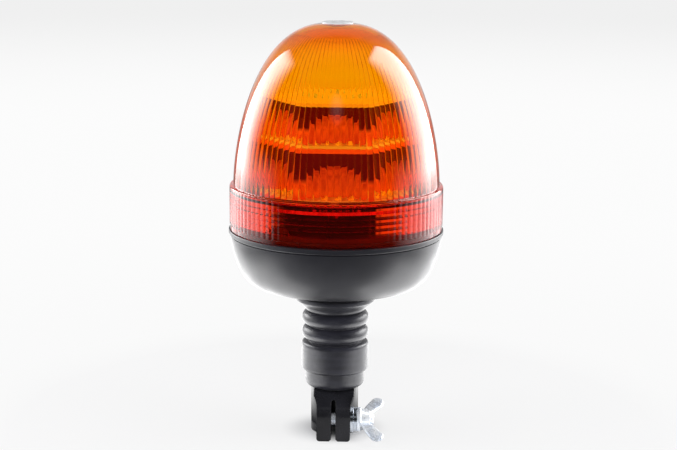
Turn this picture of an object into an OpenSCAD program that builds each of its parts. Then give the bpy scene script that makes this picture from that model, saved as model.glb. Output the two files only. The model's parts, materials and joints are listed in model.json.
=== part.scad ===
// Amber LED warning beacon: a fluted dome lens on a black base, a flexible rubber neck
// and a split clamp for a mounting pole. Sizes are in millimetres. The origin is the centre
// of the pole bore at its mouth, +Z points up the pole's axis, the clamp's ears point
// along -Y and the wing nut lies on the +X side.

/* [Pole clamp] */
// Bore that slides over the mounting pole
pole_bore_d = 24.3; // [22:0.1:28]
// Depth of the pole bore
pole_bore_depth = 46; // [42:1:60]
// Wall of the sleeve around the bore
sleeve_wall = 2.65; // [2:0.05:4]
// Width across both ears
ears_w = 20.8; // [19:0.2:26]
// Slit between the ears
slit_w = 2.8; // [1.6:0.1:4]
// Solid wall between the top of the slit and the rubber neck
slit_land = 4.3; // [2:0.1:8]
// Height of the clamp bolt above the mouth
bolt_z = 12; // [11:0.5:14]
// Web between the bolt hole and the pole bore
bolt_web = 2.6; // [2:0.1:6]
// Wall of the ears in front of the bolt head
ear_front_wall = 1.8; // [1.2:0.1:4]
// Radius of the concave flare where the ears meet the sleeve
ear_flare_r = 10; // [6:0.5:14]

/* [Clamp hardware] */
// Thread diameter of the clamp bolt
bolt_d = 8; // [6:1:8]
// Width across the flats of the bolt head
bolt_head_af = 13; // [10:0.5:13]
// Height of the bolt head
bolt_head_h = 5.3; // [4:0.1:6]
// Diameter of the flat washer
washer_d = 16; // [14:0.5:18]
// Thickness of the flat washer
washer_t = 2; // [1.2:0.1:3]
// Diameter of the spring washer
spring_washer_d = 14.8; // [12:0.2:18]
// Thickness of the spring washer
spring_washer_t = 2.2; // [1.4:0.1:3]
// Diameter of the wing nut's foot
wing_foot_d = 15; // [13:0.5:18]
// Height of the wing nut's foot
wing_foot_h = 2.4; // [1.5:0.1:4]
// Diameter of the wing nut's hub
wing_hub_d = 12.4; // [11:0.2:14]
// Height of the hub above the foot
wing_hub_h = 6; // [4:0.2:9]
// Distance from one wing tip to the other
wing_span = 36; // [30:1:40]
// Height of the wing tips above the foot
wing_rise = 14; // [10:0.5:18]
// Thickness of a wing
wing_t = 2.4; // [1.6:0.1:3.4]
// Turn of the wings about the bolt at rest, in degrees
wing_roll = 26; // [0:1:90]

/* [Rubber neck] */
// Diameter of the plain collar over the socket
collar_d = 42; // [40:0.5:52]
// Height of the collar
collar_h = 18.6; // [14:0.2:24]
// Diameter of the step under the collar
step_d = 37.2; // [34:0.2:39]
// Height of the step
step_h = 10; // [6:0.5:14]
// Rubber between the top of the socket and the first groove
neck_roof = 2.1; // [1.5:0.1:5]
// Number of rings
ring_count = 2; // [1:1:4]
// Distance from ring to ring
ring_pitch = 9.4; // [8:0.2:12]
// Diameter over the rings
ring_d = 41.8; // [38:0.2:48]
// Diameter of the core in the grooves
core_d = 34.4; // [32:0.2:37]
// Height of the cone under the top flange
cone_h = 6.8; // [5:0.2:12]
// Diameter of the top flange
flange_d = 50; // [46:0.5:60]
// Thickness of the top flange
flange_t = 3; // [2.6:0.1:6]
// Diameter of the hollow that carries the leads
hollow_d = 20; // [18:0.5:21]

/* [Base bowl] */
// Diameter of the bowl under its rim
bowl_d = 131.2; // [126:0.2:140]
// Height of the bowl
bowl_h = 32.7; // [30:0.5:45]
// Wall of the bowl
bowl_wall = 2.8; // [2:0.1:4]
// Thickness of the bowl's floor
floor_t = 3; // [2:0.1:5]
// Curve of the bowl's side
bowl_side_curve = 1.2; // [1.1:0.05:1.6]
// Squareness of the bowl's lower edge
bowl_edge_curve = 10; // [6:0.5:12]
// Diameter of the hub under the bowl
hub_d = 45; // [40:0.5:48]
// Height of the hub
hub_h = 6; // [3:0.5:10]
// Distance that the rim bead stands out from the bowl
rim_overhang = 0.8; // [0.4:0.1:2]
// Height of the rim bead
rim_h = 3.7; // [2.5:0.1:6]
// Wall of the upstand inside the lens skirt
upstand_wall = 3.8; // [3.4:0.1:5]
// Height of the upstand above the rim
upstand_h = 20.6; // [18:0.2:24]

/* [Lens] */
// Distance that the skirt stands in from the rim bead
skirt_inset = 0.6; // [0.2:0.1:1.5]
// Height of the skirt
skirt_h = 27.2; // [25:0.2:34]
// Width of the ledge between the skirt and the dome
ledge_w = 2.3; // [1.6:0.1:5]
// Height of the dome above the ledge
dome_h = 99; // [88:0.5:120]
// Wall of the lens
lens_wall = 2.6; // [2:0.1:3.2]
// Curve of the dome's side
dome_side_curve = 1.696; // [1.5:0.02:2]
// Squareness of the dome's shoulder
dome_shoulder_curve = 2.65; // [2.2:0.05:3.2]
// Rounding of the ledge's edge
ledge_round = 0.9; // [0.4:0.1:1.4]
// Diameter of the disc on the crown
crown_disc_d = 19.4; // [14:0.2:24]
// Thickness of the crown disc
crown_disc_t = 1.6; // [1:0.1:3]
// Thickness of the bayonet lugs
lug_t = 3; // [2:0.1:4]
// Twist that frees the lens, in degrees
lens_twist = 20; // [14:1:26]

/* [LED tower] */
// Thickness of the deck plate
deck_t = 3.6; // [2.4:0.1:5]
// Distance that the heat plate's corners stand out from the lower reflector
heat_plate_lip = 1; // [0.6:0.1:2]
// Thickness of the heat plate
heat_plate_t = 3.4; // [2:0.1:5]
// Thickness of the LED boards
led_board_t = 1.6; // [1:0.1:2.4]
// Circumradius of the lower reflector
lower_reflector_r = 44; // [42:0.2:44.4]
// Height of the lower reflector
lower_reflector_h = 28; // [24:0.5:32]
// Radius of the lower reflector's arches
lower_arch_r = 20.4; // [16:0.2:20.6]
// Depth of the lower reflector's cavities
lower_arch_depth = 12.8; // [9:0.2:13]
// Thickness of the mid plate
mid_plate_t = 2.4; // [1.6:0.1:4]
// Circumradius of the upper reflector
upper_reflector_r = 39; // [38:0.2:42]
// Height of the upper reflector
upper_reflector_h = 23; // [20:0.5:28]
// Radius of the upper reflector's arches
upper_arch_r = 18; // [14:0.2:18.2]
// Depth of the upper reflector's cavities
upper_arch_depth = 11.6; // [8:0.2:12]
// Thickness of the top cover
top_cover_t = 2.4; // [1.6:0.1:4]
// Diameter of the tower screws and of the other small screws
screw_d = 3; // [2.5:0.5:4]
// Side of one LED package
led_size = 3.4; // [2.8:0.1:4]

/* [Driver] */
// Diameter of the driver board
driver_board_d = 80; // [76:1:96]
// Thickness of the driver board
driver_board_t = 1.6; // [1:0.1:2.4]
// Height of the connector under the driver board
connector_h = 6.4; // [5:0.2:10]
// Diameter of a capacitor
capacitor_d = 10; // [8:0.5:12]
// Height of a capacitor
capacitor_h = 14; // [10:0.5:20]

/* [Neck stud] */
// Diameter of the hollow stud
stud_d = 16; // [14:0.5:17]
// Bore of the stud
stud_bore_d = 10; // [9:0.5:11]
// Diameter of the stud's bonded flange
stud_flange_d = 34; // [30:0.5:36]
// Thickness of the stud's bonded flange
stud_flange_t = 2.5; // [2:0.1:3]
// Width across the flats of the stud nut
stud_nut_af = 24; // [22:0.5:26]
// Height of the stud nut
stud_nut_h = 7; // [5:0.5:9]

/* [Contacts] */
// Diameter of the contact plunger's pin
plunger_d = 4.4; // [3:0.1:5]
// Thickness of the plunger's flange
plunger_flange_t = 1; // [0.8:0.1:1.4]
// Travel of the plunger
plunger_travel = 2.4; // [1.5:0.1:2.6]
// Thickness of the earth ring
earth_ring_t = 1.2; // [0.8:0.1:2]
// Wire of the contact spring
spring_wire_d = 0.45; // [0.3:0.05:0.5]
// Diameter of the insulated leads
lead_d = 2.2; // [1.6:0.1:2.6]

/* [Clearances] */
// Radial gap between fixed pieces that slip together
slip_gap = 0.1; // [0.05:0.01:0.2]
// Radial gap of turning and sliding pieces
running_gap = 0.05; // [0.02:0.01:0.1]
// Gap between the lens and the upstand
lens_gap = 0.4; // [0.3:0.05:0.6]
// Gap between rubber and what it is bonded to
bond_gap = 0.15; // [0.1:0.05:0.3]
// Gap under faces of different moving pieces
rest_gap = 0.3; // [0.2:0.05:0.4]

/* [Hidden] */
$fn = 96;
eps = 0.01;
over = 1;

// Clamp: radii
bore_r = pole_bore_d / 2;
sleeve_r = bore_r + sleeve_wall;
pole_stop_w = 2.15;
chamber_r = bore_r - pole_stop_w;
lock_rise = 2.2;
lock_r = sleeve_r + lock_rise;
lock_h = 4;
lock_above_stop = 1;
lock_z = pole_bore_depth + lock_above_stop;
bolt_hole_gap = 0.25;
bolt_hole_r = bolt_d / 2 + bolt_hole_gap;
ear_half_w = ears_w / 2;
head_gap = 0.15;
washer_clear_y = sqrt(max(1, sleeve_r * sleeve_r - ear_half_w * ear_half_w)) + washer_d / 2 + rest_gap;
bolt_y = max(bore_r + bolt_hole_r + bolt_web, washer_clear_y);
ear_front_y = bolt_y + bolt_head_af / 2 + head_gap + ear_front_wall;
head_pocket_depth = bolt_head_h + rest_gap;
ear_corner_r = 2;

// Contacts: heights from the bore's shoulder upwards
earth_ring_inset = 0.65;
earth_ring_r = bore_r - earth_ring_inset;
earth_ring_lap = 1;
earth_ring_inner_r = chamber_r - earth_ring_lap;
carrier_z = pole_bore_depth + earth_ring_t;
carrier_r = chamber_r - slip_gap;
carrier_wall = 1.6;
plunger_r = plunger_d / 2;
plunger_setback = 0.1;
plunger_z = pole_bore_depth + plunger_setback;
plunger_flange_z = carrier_z + carrier_wall;
plunger_flange_w = 1.4;
plunger_flange_r = plunger_r + plunger_flange_w;
spring_pocket_r = plunger_flange_r + rest_gap;
spring_z = plunger_flange_z + plunger_flange_t;
spring_turns = 4;
spring_spare = 0.2;
carrier_top = spring_z + plunger_travel + spring_turns * spring_wire_d + spring_spare;
terminal_lap = 2.4;
terminal_r = plunger_flange_r + terminal_lap;
terminal_t = 1;
terminal_top = carrier_top + terminal_t;
terminal_setback = 0.8;
socket_top = terminal_top + terminal_setback;
chamber_h = socket_top - pole_bore_depth;
earth_tab_w = 3;
earth_tab_depth = 1.3;
earth_tab_r = chamber_r + earth_tab_depth;
earth_lug_gap = 0.6;
earth_lug_inner_r = terminal_r + earth_lug_gap;
earth_lug_t = 0.8;
earth_lug_z = carrier_top + earth_lug_t;
earth_lug_top = earth_lug_z + earth_lug_t;
lead_sides = 8;

// Neck: heights from the socket upwards
collar_top = socket_top + neck_roof;
collar_z = collar_top - collar_h;
neck_z = collar_z - step_h;
ears_top = neck_z - rest_gap;
slit_top = neck_z - slit_land;
flare_h = 8.5;
groove_gap = 0.95;
bellows_z = collar_top + groove_gap;
bellows_top = bellows_z + ring_count * ring_pitch;
flange_z = bellows_top + cone_h;
neck_top = flange_z + flange_t;
stud_cover = 2.5;
stud_flange_z = neck_top - stud_flange_t - stud_cover;
collar_round = 2.2;
step_taper_h = 4.2;
foot_lip = 1.2;
ring_gap = 0.2;
cone_lip = 1.7;

// Base: heights from the neck upwards
bowl_z = neck_top + hub_h;
floor_top = bowl_z + floor_t;
bowl_r = bowl_d / 2;
rim_r = bowl_r + rim_overhang;
rim_z = bowl_z + bowl_h;
rim_top = rim_z + rim_h;
upstand_top = rim_top + upstand_h;
stud_hole_r = stud_d / 2 + slip_gap;
stud_washer_t = 1.6;
stud_washer_z = floor_top;
stud_nut_z = stud_washer_z + stud_washer_t;
stud_end = 1.2;
stud_top = stud_nut_z + stud_nut_h + stud_end;
bowl_steps = 24;
bowl_flat = 0.2;
rim_groove = 0.8;
rim_edge = 0.4;

// Lens: radii and heights
skirt_r = rim_r - skirt_inset;
skirt_inner_r = skirt_r - lens_wall;
lens_z = rim_top + rest_gap;
ledge_z = lens_z + skirt_h;
dome_r = skirt_r - ledge_w;
upstand_r = skirt_inner_r - lens_gap;
upstand_inner_r = upstand_r - upstand_wall;
crown_land = 0.8;
crown_r = crown_disc_d / 2 + crown_land;
crown_recess = 0.6;
dome_steps = 32;
seal_wire_r = 1.2;
seal_rise = 2.2;
seal_z = rim_top + seal_rise;
seal_r = skirt_inner_r - seal_wire_r - running_gap;
seal_groove_r = seal_r - seal_wire_r - running_gap;
lug_count = 3;
lug_angle = 12;
lug_side_gap = 1;
lug_above_seal = 5;
lug_z = seal_z + lug_above_seal;
lug_reach = 1.8;
lug_tip_r = upstand_r - lug_reach;
slot_r = lug_tip_r - lens_gap;

// LED tower: heights from the deck upwards
deck_setback = 1.4;
deck_z = upstand_top - deck_setback - deck_t;
deck_top = deck_z + deck_t;
lower_board_z = deck_top + heat_plate_t;
lower_reflector_z = lower_board_z + led_board_t;
mid_plate_z = lower_reflector_z + lower_reflector_h;
upper_board_z = mid_plate_z + mid_plate_t;
upper_reflector_z = upper_board_z + led_board_t;
top_cover_z = upper_reflector_z + upper_reflector_h;
tower_top = top_cover_z + top_cover_t;
heat_plate_r = lower_reflector_r + heat_plate_lip;
lower_board_lip = 0.5;
lower_board_r = lower_reflector_r + lower_board_lip;
upper_board_lip = 0.8;
upper_board_r = upper_reflector_r + upper_board_lip;
plate_edge = 1;
mid_plate_r = lower_reflector_r - plate_edge;
top_cover_r = upper_reflector_r + plate_edge;
screw_r = screw_d / 2;
screw_hole_r = screw_r + slip_gap;
screw_head_r = screw_d * 0.92;
screw_head_h = screw_d * 0.62;
tie_circle_r = 15;
tie_angles = [90, 210, 330];
nut_h = screw_d * 0.8;
nut_af = screw_d * 1.83;
wire_way_r = 8;
board_way_r = 5;
tower_lead_r = 0.8;
inner_lead_r = 2.6;
outer_lead_r = 6.5;
leds_per_side = 3;
led_pitch = 8.5;
led_inset = 5.5;
led_h = 0.9;
led_dome_r = 1.35;
led_tip_r = led_dome_r * 0.55;
cavity_plinth = 0.6;
hex_sides = 6;
side_angles = [for (i = [0 : hex_sides - 1]) 30 + 360 / hex_sides * i];

// Driver: heights from the stud upwards
connector_gap = 1.2;
driver_z = stud_top + connector_gap + connector_h;
driver_top = driver_z + driver_board_t;
driver_post_circle_r = 34;
driver_post_r = 4;
driver_post_angles = [90, 210, 330];
deck_post_inset = 7;
deck_post_circle_r = upstand_inner_r - deck_post_inset;
deck_post_r = 4.2;
deck_post_angles = [30, 150, 270];
deck_r = upstand_inner_r - lens_gap;
lead_end_z = driver_z - connector_h;
connector_l = 12;
connector_w = 8;
part_circle_r = 22;
transistor_xs = [14, 24];
transistor_y = -12;
controller_at = [9, -26, 0];
driver_screw_grip = 6;
deck_screw_grip = 7;
screw_spare = 2;

// Routes of the two leads: x, y and the share of the way from the lower to the upper end
positive_route = [[2.2, 0, 0], [2.2, 0, 0.08], [3.4, -1.2, 0.2], [1.6, -1.6, 0.34], [2.2, 0, 0.48],
    [2.2, 0, 0.6], [2.2, 0, 0.8], [2.2, 0, 1]];
earth_route = [[0, 8, 0], [0, 8, 0.06], [-1.4, 5.4, 0.18], [-2.8, 2, 0.32], [-2.2, 0, 0.48],
    [-2.2, 0, 0.6], [-2.2, 0, 0.8], [-2.2, 0, 1]];

// Radius of the bowl and of the dome at a share t of their heights
function bowl_radius(t, r) = r * pow(max(0, 1 - pow(t, bowl_side_curve)), 1 / bowl_edge_curve);
function dome_radius(t, r) = r * pow(max(0, 1 - pow(t, dome_side_curve)), 1 / dome_shoulder_curve);
function dome_share(radius, r) = pow(1 - pow(radius / r, dome_shoulder_curve), 1 / dome_side_curve);

// Bowl outline from the edge of its flat floor up to the rim
function bowl_outline(r, low, high) = [for (i = [0 : bowl_steps])
    let (u = bowl_flat + (1 - bowl_flat) * i / bowl_steps)
    let (t = max(0, 1 - pow(u, 3)))
    [bowl_radius(t, r), i == 0 ? low : high - t * (high - low)]];

// Dome outline from the ledge up to the radius r_end
function dome_outline(r, low, high, r_end) = [for (i = [0 : dome_steps])
    let (t = dome_share(r_end, r) * sin(90 * i / dome_steps))
    [dome_radius(t, r), low + t * (high - low)]];

function reversed(list) = [for (i = [len(list) - 1 : -1 : 0]) list[i]];
function unit(v) = v / norm(v);

// Tube swept along points as one closed solid
module tube(points, r, sides) {
    last = len(points) - 1;
    rings = [for (i = [0 : last])
        let (t = unit(points[min(i + 1, last)] - points[max(i - 1, 0)]))
        let (side = unit(cross([0, 1, 0.001], t)))
        let (up = cross(t, side))
        for (k = [0 : sides - 1])
            points[i] + r * (cos(360 * k / sides) * side + sin(360 * k / sides) * up)];
    low_cap = [for (k = [0 : sides - 1]) k];
    high_cap = [for (k = [sides - 1 : -1 : 0]) last * sides + k];
    walls = [for (i = [0 : last - 1]) for (k = [0 : sides - 1])
        let (n = (k + 1) % sides)
        each [[i * sides + k, (i + 1) * sides + k, (i + 1) * sides + n],
            [i * sides + k, (i + 1) * sides + n, i * sides + n]]];
    polyhedron(points = rings, faces = concat([low_cap, high_cap], walls), convexity = 8);
}

// Copies of the children on a circle
module on_circle(r, angles) {
    for (a = angles)
        rotate([0, 0, a]) translate([r, 0, 0]) children();
}

module hex_prism(across_flats, h) {
    cylinder(d = across_flats / cos(30), h = h, $fn = 6);
}

module ring(outer_r, inner_r, h) {
    difference() {
        cylinder(r = outer_r, h = h);
        translate([0, 0, -over]) cylinder(r = inner_r, h = h + 2 * over);
    }
}

// Pan-head screw that points down from the origin, with a cross recess
module screw(length) {
    slot_w = screw_d * 0.24;
    slot_l = screw_head_r * 1.3;
    slot_depth = screw_head_h * 0.5;
    difference() {
        union() {
            translate([0, 0, -length]) cylinder(r = screw_r, h = length + eps, $fn = 32);
            cylinder(r = screw_head_r, h = screw_head_h, $fn = 32);
        }
        for (a = [0, 90])
            rotate([0, 0, a])
                translate([-slot_l / 2, -slot_w / 2, screw_head_h - slot_depth])
                    cube([slot_l, slot_w, screw_head_h]);
    }
}

// Front view of the ears, in X and Z
module ear_front_outline() {
    flare_w = 2.2;
    translate([-ear_half_w, ear_corner_r]) square([ears_w, ears_top - ear_corner_r]);
    translate([-ear_half_w + ear_corner_r, 0]) square([ears_w - 2 * ear_corner_r, 2 * ear_corner_r]);
    for (s = [-1, 1]) {
        translate([s * (ear_half_w - ear_corner_r), ear_corner_r]) circle(r = ear_corner_r);
        difference() {
            translate([s * ear_half_w - flare_w, ears_top - flare_h]) square([2 * flare_w, flare_h]);
            translate([s * (ear_half_w + ear_flare_r), ears_top - flare_h]) circle(r = ear_flare_r);
        }
    }
}

// Side view of the ears: distance towards the front, and Z
module ear_side_outline() {
    root_share = 0.9;
    bend_rise = 2;
    root_y = bore_r * root_share;
    bend_z = bolt_z + bend_rise;
    arc = [for (a = [0 : 6 : 90])
        [root_y + (ear_front_y - root_y) * cos(a), bend_z + (ears_top - bend_z) * sin(a)]];
    polygon(concat([[0, 0], [ear_front_y, 0]], arc, [[0, ears_top]]));
}

module ears() {
    intersection() {
        rotate([90, 0, 0])
            linear_extrude(height = ear_front_y + over) ear_front_outline();
        rotate([90, 0, -90])
            translate([0, 0, -ears_w])
                linear_extrude(height = 2 * ears_w) ear_side_outline();
    }
}

// The slit with its round top and the chamfer at its mouth
module slit() {
    depth = ear_front_y + over;
    chamfer = 1.3;
    translate([-slit_w / 2, -depth, -over])
        cube([slit_w, depth, slit_top - slit_w / 2 + over]);
    translate([0, 0, slit_top - slit_w / 2])
        rotate([90, 0, 0]) cylinder(d = slit_w, h = depth, $fn = 32);
    rotate([90, 0, 0])
        linear_extrude(height = depth)
            polygon([[-slit_w / 2 - chamfer, -eps], [slit_w / 2 + chamfer, -eps],
                [slit_w / 2, chamfer], [-slit_w / 2, chamfer]]);
}

// Moves children from the Z axis to the clamp bolt's axis, with Z along +X
module on_bolt_axis(x) {
    translate([x, -bolt_y, bolt_z]) rotate([0, 90, 0]) children();
}

module clamp_socket() {
    color("#1b1b1e")
        difference() {
            union() {
                cylinder(r = sleeve_r, h = socket_top);
                translate([0, 0, lock_z]) cylinder(r = lock_r, h = lock_h);
                ears();
            }
            translate([0, 0, -over]) cylinder(r = bore_r, h = pole_bore_depth + over);
            translate([0, 0, pole_bore_depth - eps])
                cylinder(r = earth_ring_r + slip_gap, h = earth_ring_t + eps);
            translate([0, 0, pole_bore_depth]) cylinder(r = chamber_r, h = chamber_h + over);
            translate([-earth_tab_w / 2 - slip_gap, 0, pole_bore_depth])
                cube([earth_tab_w + 2 * slip_gap, earth_tab_r + slip_gap, chamber_h + over]);
            slit();
            on_bolt_axis(-ears_w) cylinder(r = bolt_hole_r, h = 2 * ears_w);
            on_bolt_axis(-ear_half_w - over)
                rotate([0, 0, 30]) hex_prism(bolt_head_af + 2 * head_gap, head_pocket_depth + over);
        }
}

bolt_head_x = -ear_half_w + head_pocket_depth - bolt_head_h;
flat_washer_x = ear_half_w;
spring_washer_x = flat_washer_x + washer_t;
wing_nut_x = spring_washer_x + spring_washer_t;
bolt_spare = 2;
bolt_end_x = wing_nut_x + wing_foot_h + wing_hub_h + bolt_spare;

module clamp_bolt() {
    chamfer = 0.8;
    color("#c9ced4") {
        on_bolt_axis(bolt_head_x) rotate([0, 0, 30]) hex_prism(bolt_head_af, bolt_head_h);
        on_bolt_axis(bolt_head_x + bolt_head_h - eps)
            cylinder(d = bolt_d, h = bolt_end_x - chamfer - bolt_head_x - bolt_head_h + eps);
        on_bolt_axis(bolt_end_x - chamfer)
            cylinder(d1 = bolt_d, d2 = bolt_d - 2 * chamfer, h = chamfer);
    }
}

module flat_washer() {
    color("#d3d7dc")
        on_bolt_axis(flat_washer_x) ring(washer_d / 2, bolt_hole_r, washer_t);
}

module spring_washer() {
    split_w = 1;
    split_angle = 200;
    color("#c4c9cf")
        on_bolt_axis(spring_washer_x)
            difference() {
                ring(spring_washer_d / 2, bolt_hole_r, spring_washer_t);
                rotate([0, 0, split_angle])
                    translate([0, -split_w / 2, -over])
                        cube([spring_washer_d, split_w, spring_washer_t + 2 * over]);
            }
}

// One wing in its own plane: distance from the bolt axis, and height above the nut's foot
module wing_outline() {
    tip_r = 4.4;
    root_lap = 2.2;
    root_rise = wing_hub_h * 0.45;
    tip = [wing_span / 2 - tip_r, wing_foot_h + wing_rise - tip_r];
    root = [wing_hub_d / 2 - root_lap, wing_foot_h + root_rise];
    along = unit(tip - root);
    across = [-along[1], along[0]];
    root_half_w = wing_hub_h * 0.42;
    translate(tip) circle(r = tip_r, $fn = 40);
    polygon([root - root_half_w * across, tip - tip_r * across,
        tip + tip_r * across, root + root_half_w * across]);
}

module wing_nut() {
    hub_taper = 1;
    color("#ccd2da")
        on_bolt_axis(wing_nut_x)
            rotate([0, 0, wing_roll])
                difference() {
                    union() {
                        cylinder(d = wing_foot_d, h = wing_foot_h);
                        translate([0, 0, wing_foot_h - eps])
                            cylinder(d1 = wing_hub_d + hub_taper, d2 = wing_hub_d - hub_taper,
                                h = wing_hub_h + eps);
                        for (s = [0, 180])
                            rotate([0, 0, s])
                                rotate([90, 0, 90])
                                    translate([0, 0, -wing_t / 2])
                                        linear_extrude(height = wing_t) wing_outline();
                    }
                    translate([0, 0, -over])
                        cylinder(r = bolt_d / 2 + running_gap, h = wing_foot_h + wing_rise + 2 * over);
                }
}

// Flat earth contact with a tab that rises beside the contact carrier
module earth_ring() {
    tab_inner_r = chamber_r + slip_gap;
    color("#b8923f") {
        translate([0, 0, pole_bore_depth]) ring(earth_ring_r, earth_ring_inner_r, earth_ring_t);
        translate([-earth_tab_w / 2, tab_inner_r, pole_bore_depth])
            cube([earth_tab_w, earth_tab_r - tab_inner_r, earth_lug_top - pole_bore_depth]);
        translate([-earth_tab_w / 2, earth_lug_inner_r, earth_lug_z])
            cube([earth_tab_w, earth_tab_r - earth_lug_inner_r, earth_lug_t]);
    }
}

module contact_carrier() {
    color("#e4dfd2")
        translate([0, 0, carrier_z])
            difference() {
                cylinder(r = carrier_r, h = carrier_top - carrier_z);
                translate([0, 0, -over]) cylinder(r = plunger_r + running_gap, h = carrier_wall + 2 * over);
                translate([0, 0, carrier_wall]) cylinder(r = spring_pocket_r, h = socket_top);
            }
}

module contact_plunger() {
    nose_h = 0.6;
    color("#c9a14a") {
        translate([0, 0, plunger_z]) cylinder(r1 = plunger_r - nose_h, r2 = plunger_r, h = nose_h);
        translate([0, 0, plunger_z + nose_h - eps])
            cylinder(r = plunger_r, h = plunger_flange_z - plunger_z - nose_h + 2 * eps);
        translate([0, 0, plunger_flange_z]) cylinder(r = plunger_flange_r, h = plunger_flange_t);
    }
}

// Open coil between the plunger's flange and the terminal plate
module contact_spring() {
    coil_r = plunger_flange_r - spring_wire_d;
    steps = 16 * spring_turns;
    low = spring_z + spring_wire_d / 2 + eps;
    high = carrier_top - spring_wire_d / 2 - eps;
    color("#d5d8da")
        tube([for (i = [0 : steps])
            let (a = 360 * spring_turns * i / steps)
            [coil_r * cos(a), coil_r * sin(a), low + (high - low) * i / steps]],
            spring_wire_d / 2, 6);
}

module terminal_plate() {
    color("#c9a14a")
        translate([0, 0, carrier_top]) cylinder(r = terminal_r, h = terminal_t);
}

function lead_points(route, low) = [for (p = route) [p[0], p[1], low + p[2] * (lead_end_z - low)]];

module positive_lead() {
    color("#b3221f") tube(lead_points(positive_route, terminal_top), lead_d / 2, lead_sides);
}

module earth_lead() {
    color("#202020") tube(lead_points(earth_route, earth_lug_top), lead_d / 2, lead_sides);
}

// Outer half section of the neck
module neck_outline() {
    step_r = step_d / 2;
    foot_r = sleeve_r + foot_lip;
    collar_r = collar_d / 2;
    ring_round = ring_pitch / 2 - ring_gap / 2;
    core_r = core_d / 2;
    taper = [for (a = [0 : 10 : 90])
        [foot_r + (step_r - foot_r) * sin(a), neck_z + step_taper_h * (1 - cos(a))]];
    polygon(concat([[0, neck_z]], taper, [[step_r, collar_z + collar_round], [0, collar_z + collar_round]]));
    translate([0, collar_z + collar_round]) square([collar_r, collar_h - 2 * collar_round]);
    translate([0, collar_z]) square([collar_r - collar_round, collar_h]);
    for (z = [collar_z + collar_round, collar_top - collar_round])
        translate([collar_r - collar_round, z]) circle(r = collar_round, $fn = 48);
    translate([0, collar_top - eps]) square([core_r, bellows_top - collar_top + 2 * eps]);
    for (i = [0 : ring_count - 1])
        translate([ring_d / 2 - ring_round, bellows_z + ring_pitch * (i + 0.5)])
            circle(r = ring_round, $fn = 64);
    polygon([[0, bellows_top], [core_r, bellows_top], [core_r + cone_lip, bellows_top + cone_lip / 2],
        [core_r + 2 * cone_lip, bellows_top + cone_h / 2], [flange_d / 2, flange_z],
        [flange_d / 2, neck_top], [0, neck_top]]);
}

// What the neck is moulded around: socket, lead hollow and stud
module neck_core_outline() {
    translate([0, neck_z - over]) square([sleeve_r + bond_gap, socket_top + bond_gap - neck_z + over]);
    translate([0, lock_z - bond_gap]) square([lock_r + bond_gap, lock_h + 2 * bond_gap]);
    translate([0, socket_top]) square([hollow_d / 2, stud_flange_z - socket_top]);
    translate([0, stud_flange_z - bond_gap])
        square([stud_flange_d / 2 + bond_gap, stud_flange_t + 2 * bond_gap]);
    translate([0, stud_flange_z]) square([stud_d / 2 + bond_gap, neck_top - stud_flange_z + over]);
}

module flex_neck() {
    color("#26262a")
        rotate_extrude()
            intersection() {
                difference() {
                    neck_outline();
                    neck_core_outline();
                }
                square([flange_d, neck_top]);
            }
}

module neck_stud() {
    color("#b9bec4")
        difference() {
            union() {
                translate([0, 0, stud_flange_z]) cylinder(d = stud_flange_d, h = stud_flange_t);
                translate([0, 0, stud_flange_z]) cylinder(d = stud_d, h = stud_top - stud_flange_z);
            }
            translate([0, 0, stud_flange_z - over])
                cylinder(d = stud_bore_d, h = stud_top - stud_flange_z + 2 * over);
        }
}

module stud_washer() {
    outer_r = stud_nut_af * 0.66;
    color("#c4c9cf")
        translate([0, 0, stud_washer_z]) ring(outer_r, stud_hole_r, stud_washer_t);
}

module stud_nut() {
    color("#c4c9cf")
        translate([0, 0, stud_nut_z])
            difference() {
                hex_prism(stud_nut_af, stud_nut_h);
                translate([0, 0, -over]) cylinder(r = stud_hole_r, h = stud_nut_h + 2 * over);
            }
}

// Half section of the bowl with its hub, rim bead, upstand and seal groove
module base_outline() {
    outer = bowl_outline(bowl_r, bowl_z, rim_z);
    inner = bowl_outline(bowl_r - bowl_wall, floor_top, rim_z);
    groove_half_h = seal_wire_r + running_gap;
    polygon(concat(
        [[stud_hole_r, floor_top], [stud_hole_r, neck_top], [hub_d / 2, neck_top], [hub_d / 2, bowl_z]],
        outer,
        [[bowl_r - rim_groove, rim_z + rim_groove * 0.4], [bowl_r - rim_groove, rim_z + rim_groove],
            [rim_r - rim_edge, rim_z + rim_groove], [rim_r, rim_z + rim_groove + rim_edge],
            [rim_r, rim_top - rim_edge], [rim_r - rim_edge, rim_top], [upstand_r, rim_top],
            [upstand_r, seal_z - groove_half_h], [seal_groove_r, seal_z - groove_half_h],
            [seal_groove_r, seal_z + groove_half_h], [upstand_r, seal_z + groove_half_h],
            [upstand_r, upstand_top], [upstand_inner_r, upstand_top], [upstand_inner_r, rim_z]],
        reversed(inner)));
}

// Solid inside the bowl's outer face, which trims the posts
module bowl_fill() {
    rotate_extrude()
        polygon(concat([[0, bowl_z + floor_t / 2]],
            bowl_outline(bowl_r - bowl_wall / 2, bowl_z + floor_t / 2, rim_z),
            [[upstand_inner_r, rim_z], [upstand_inner_r, upstand_top], [0, upstand_top]]));
}

// L-shaped bayonet slot for one lens lug: a channel to turn in and a way up and out
module bayonet_slot() {
    way_gap = lug_side_gap * 0.7;
    way_relief = 0.2;
    slot_low = lug_z - rest_gap;
    slot_h = lug_t + 2 * rest_gap;
    depth = upstand_r - slot_r + over;
    rotate([0, 0, -lug_angle / 2 - lug_side_gap])
        rotate_extrude(angle = lug_angle + 2 * lug_side_gap + lens_twist)
            translate([slot_r, slot_low]) square([depth, slot_h]);
    rotate([0, 0, lens_twist - lug_angle / 2 - way_gap])
        rotate_extrude(angle = lug_angle + 2 * way_gap)
            translate([slot_r - way_relief, slot_low + slot_h / 2])
                square([depth + way_relief, upstand_top - slot_low]);
}

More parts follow.
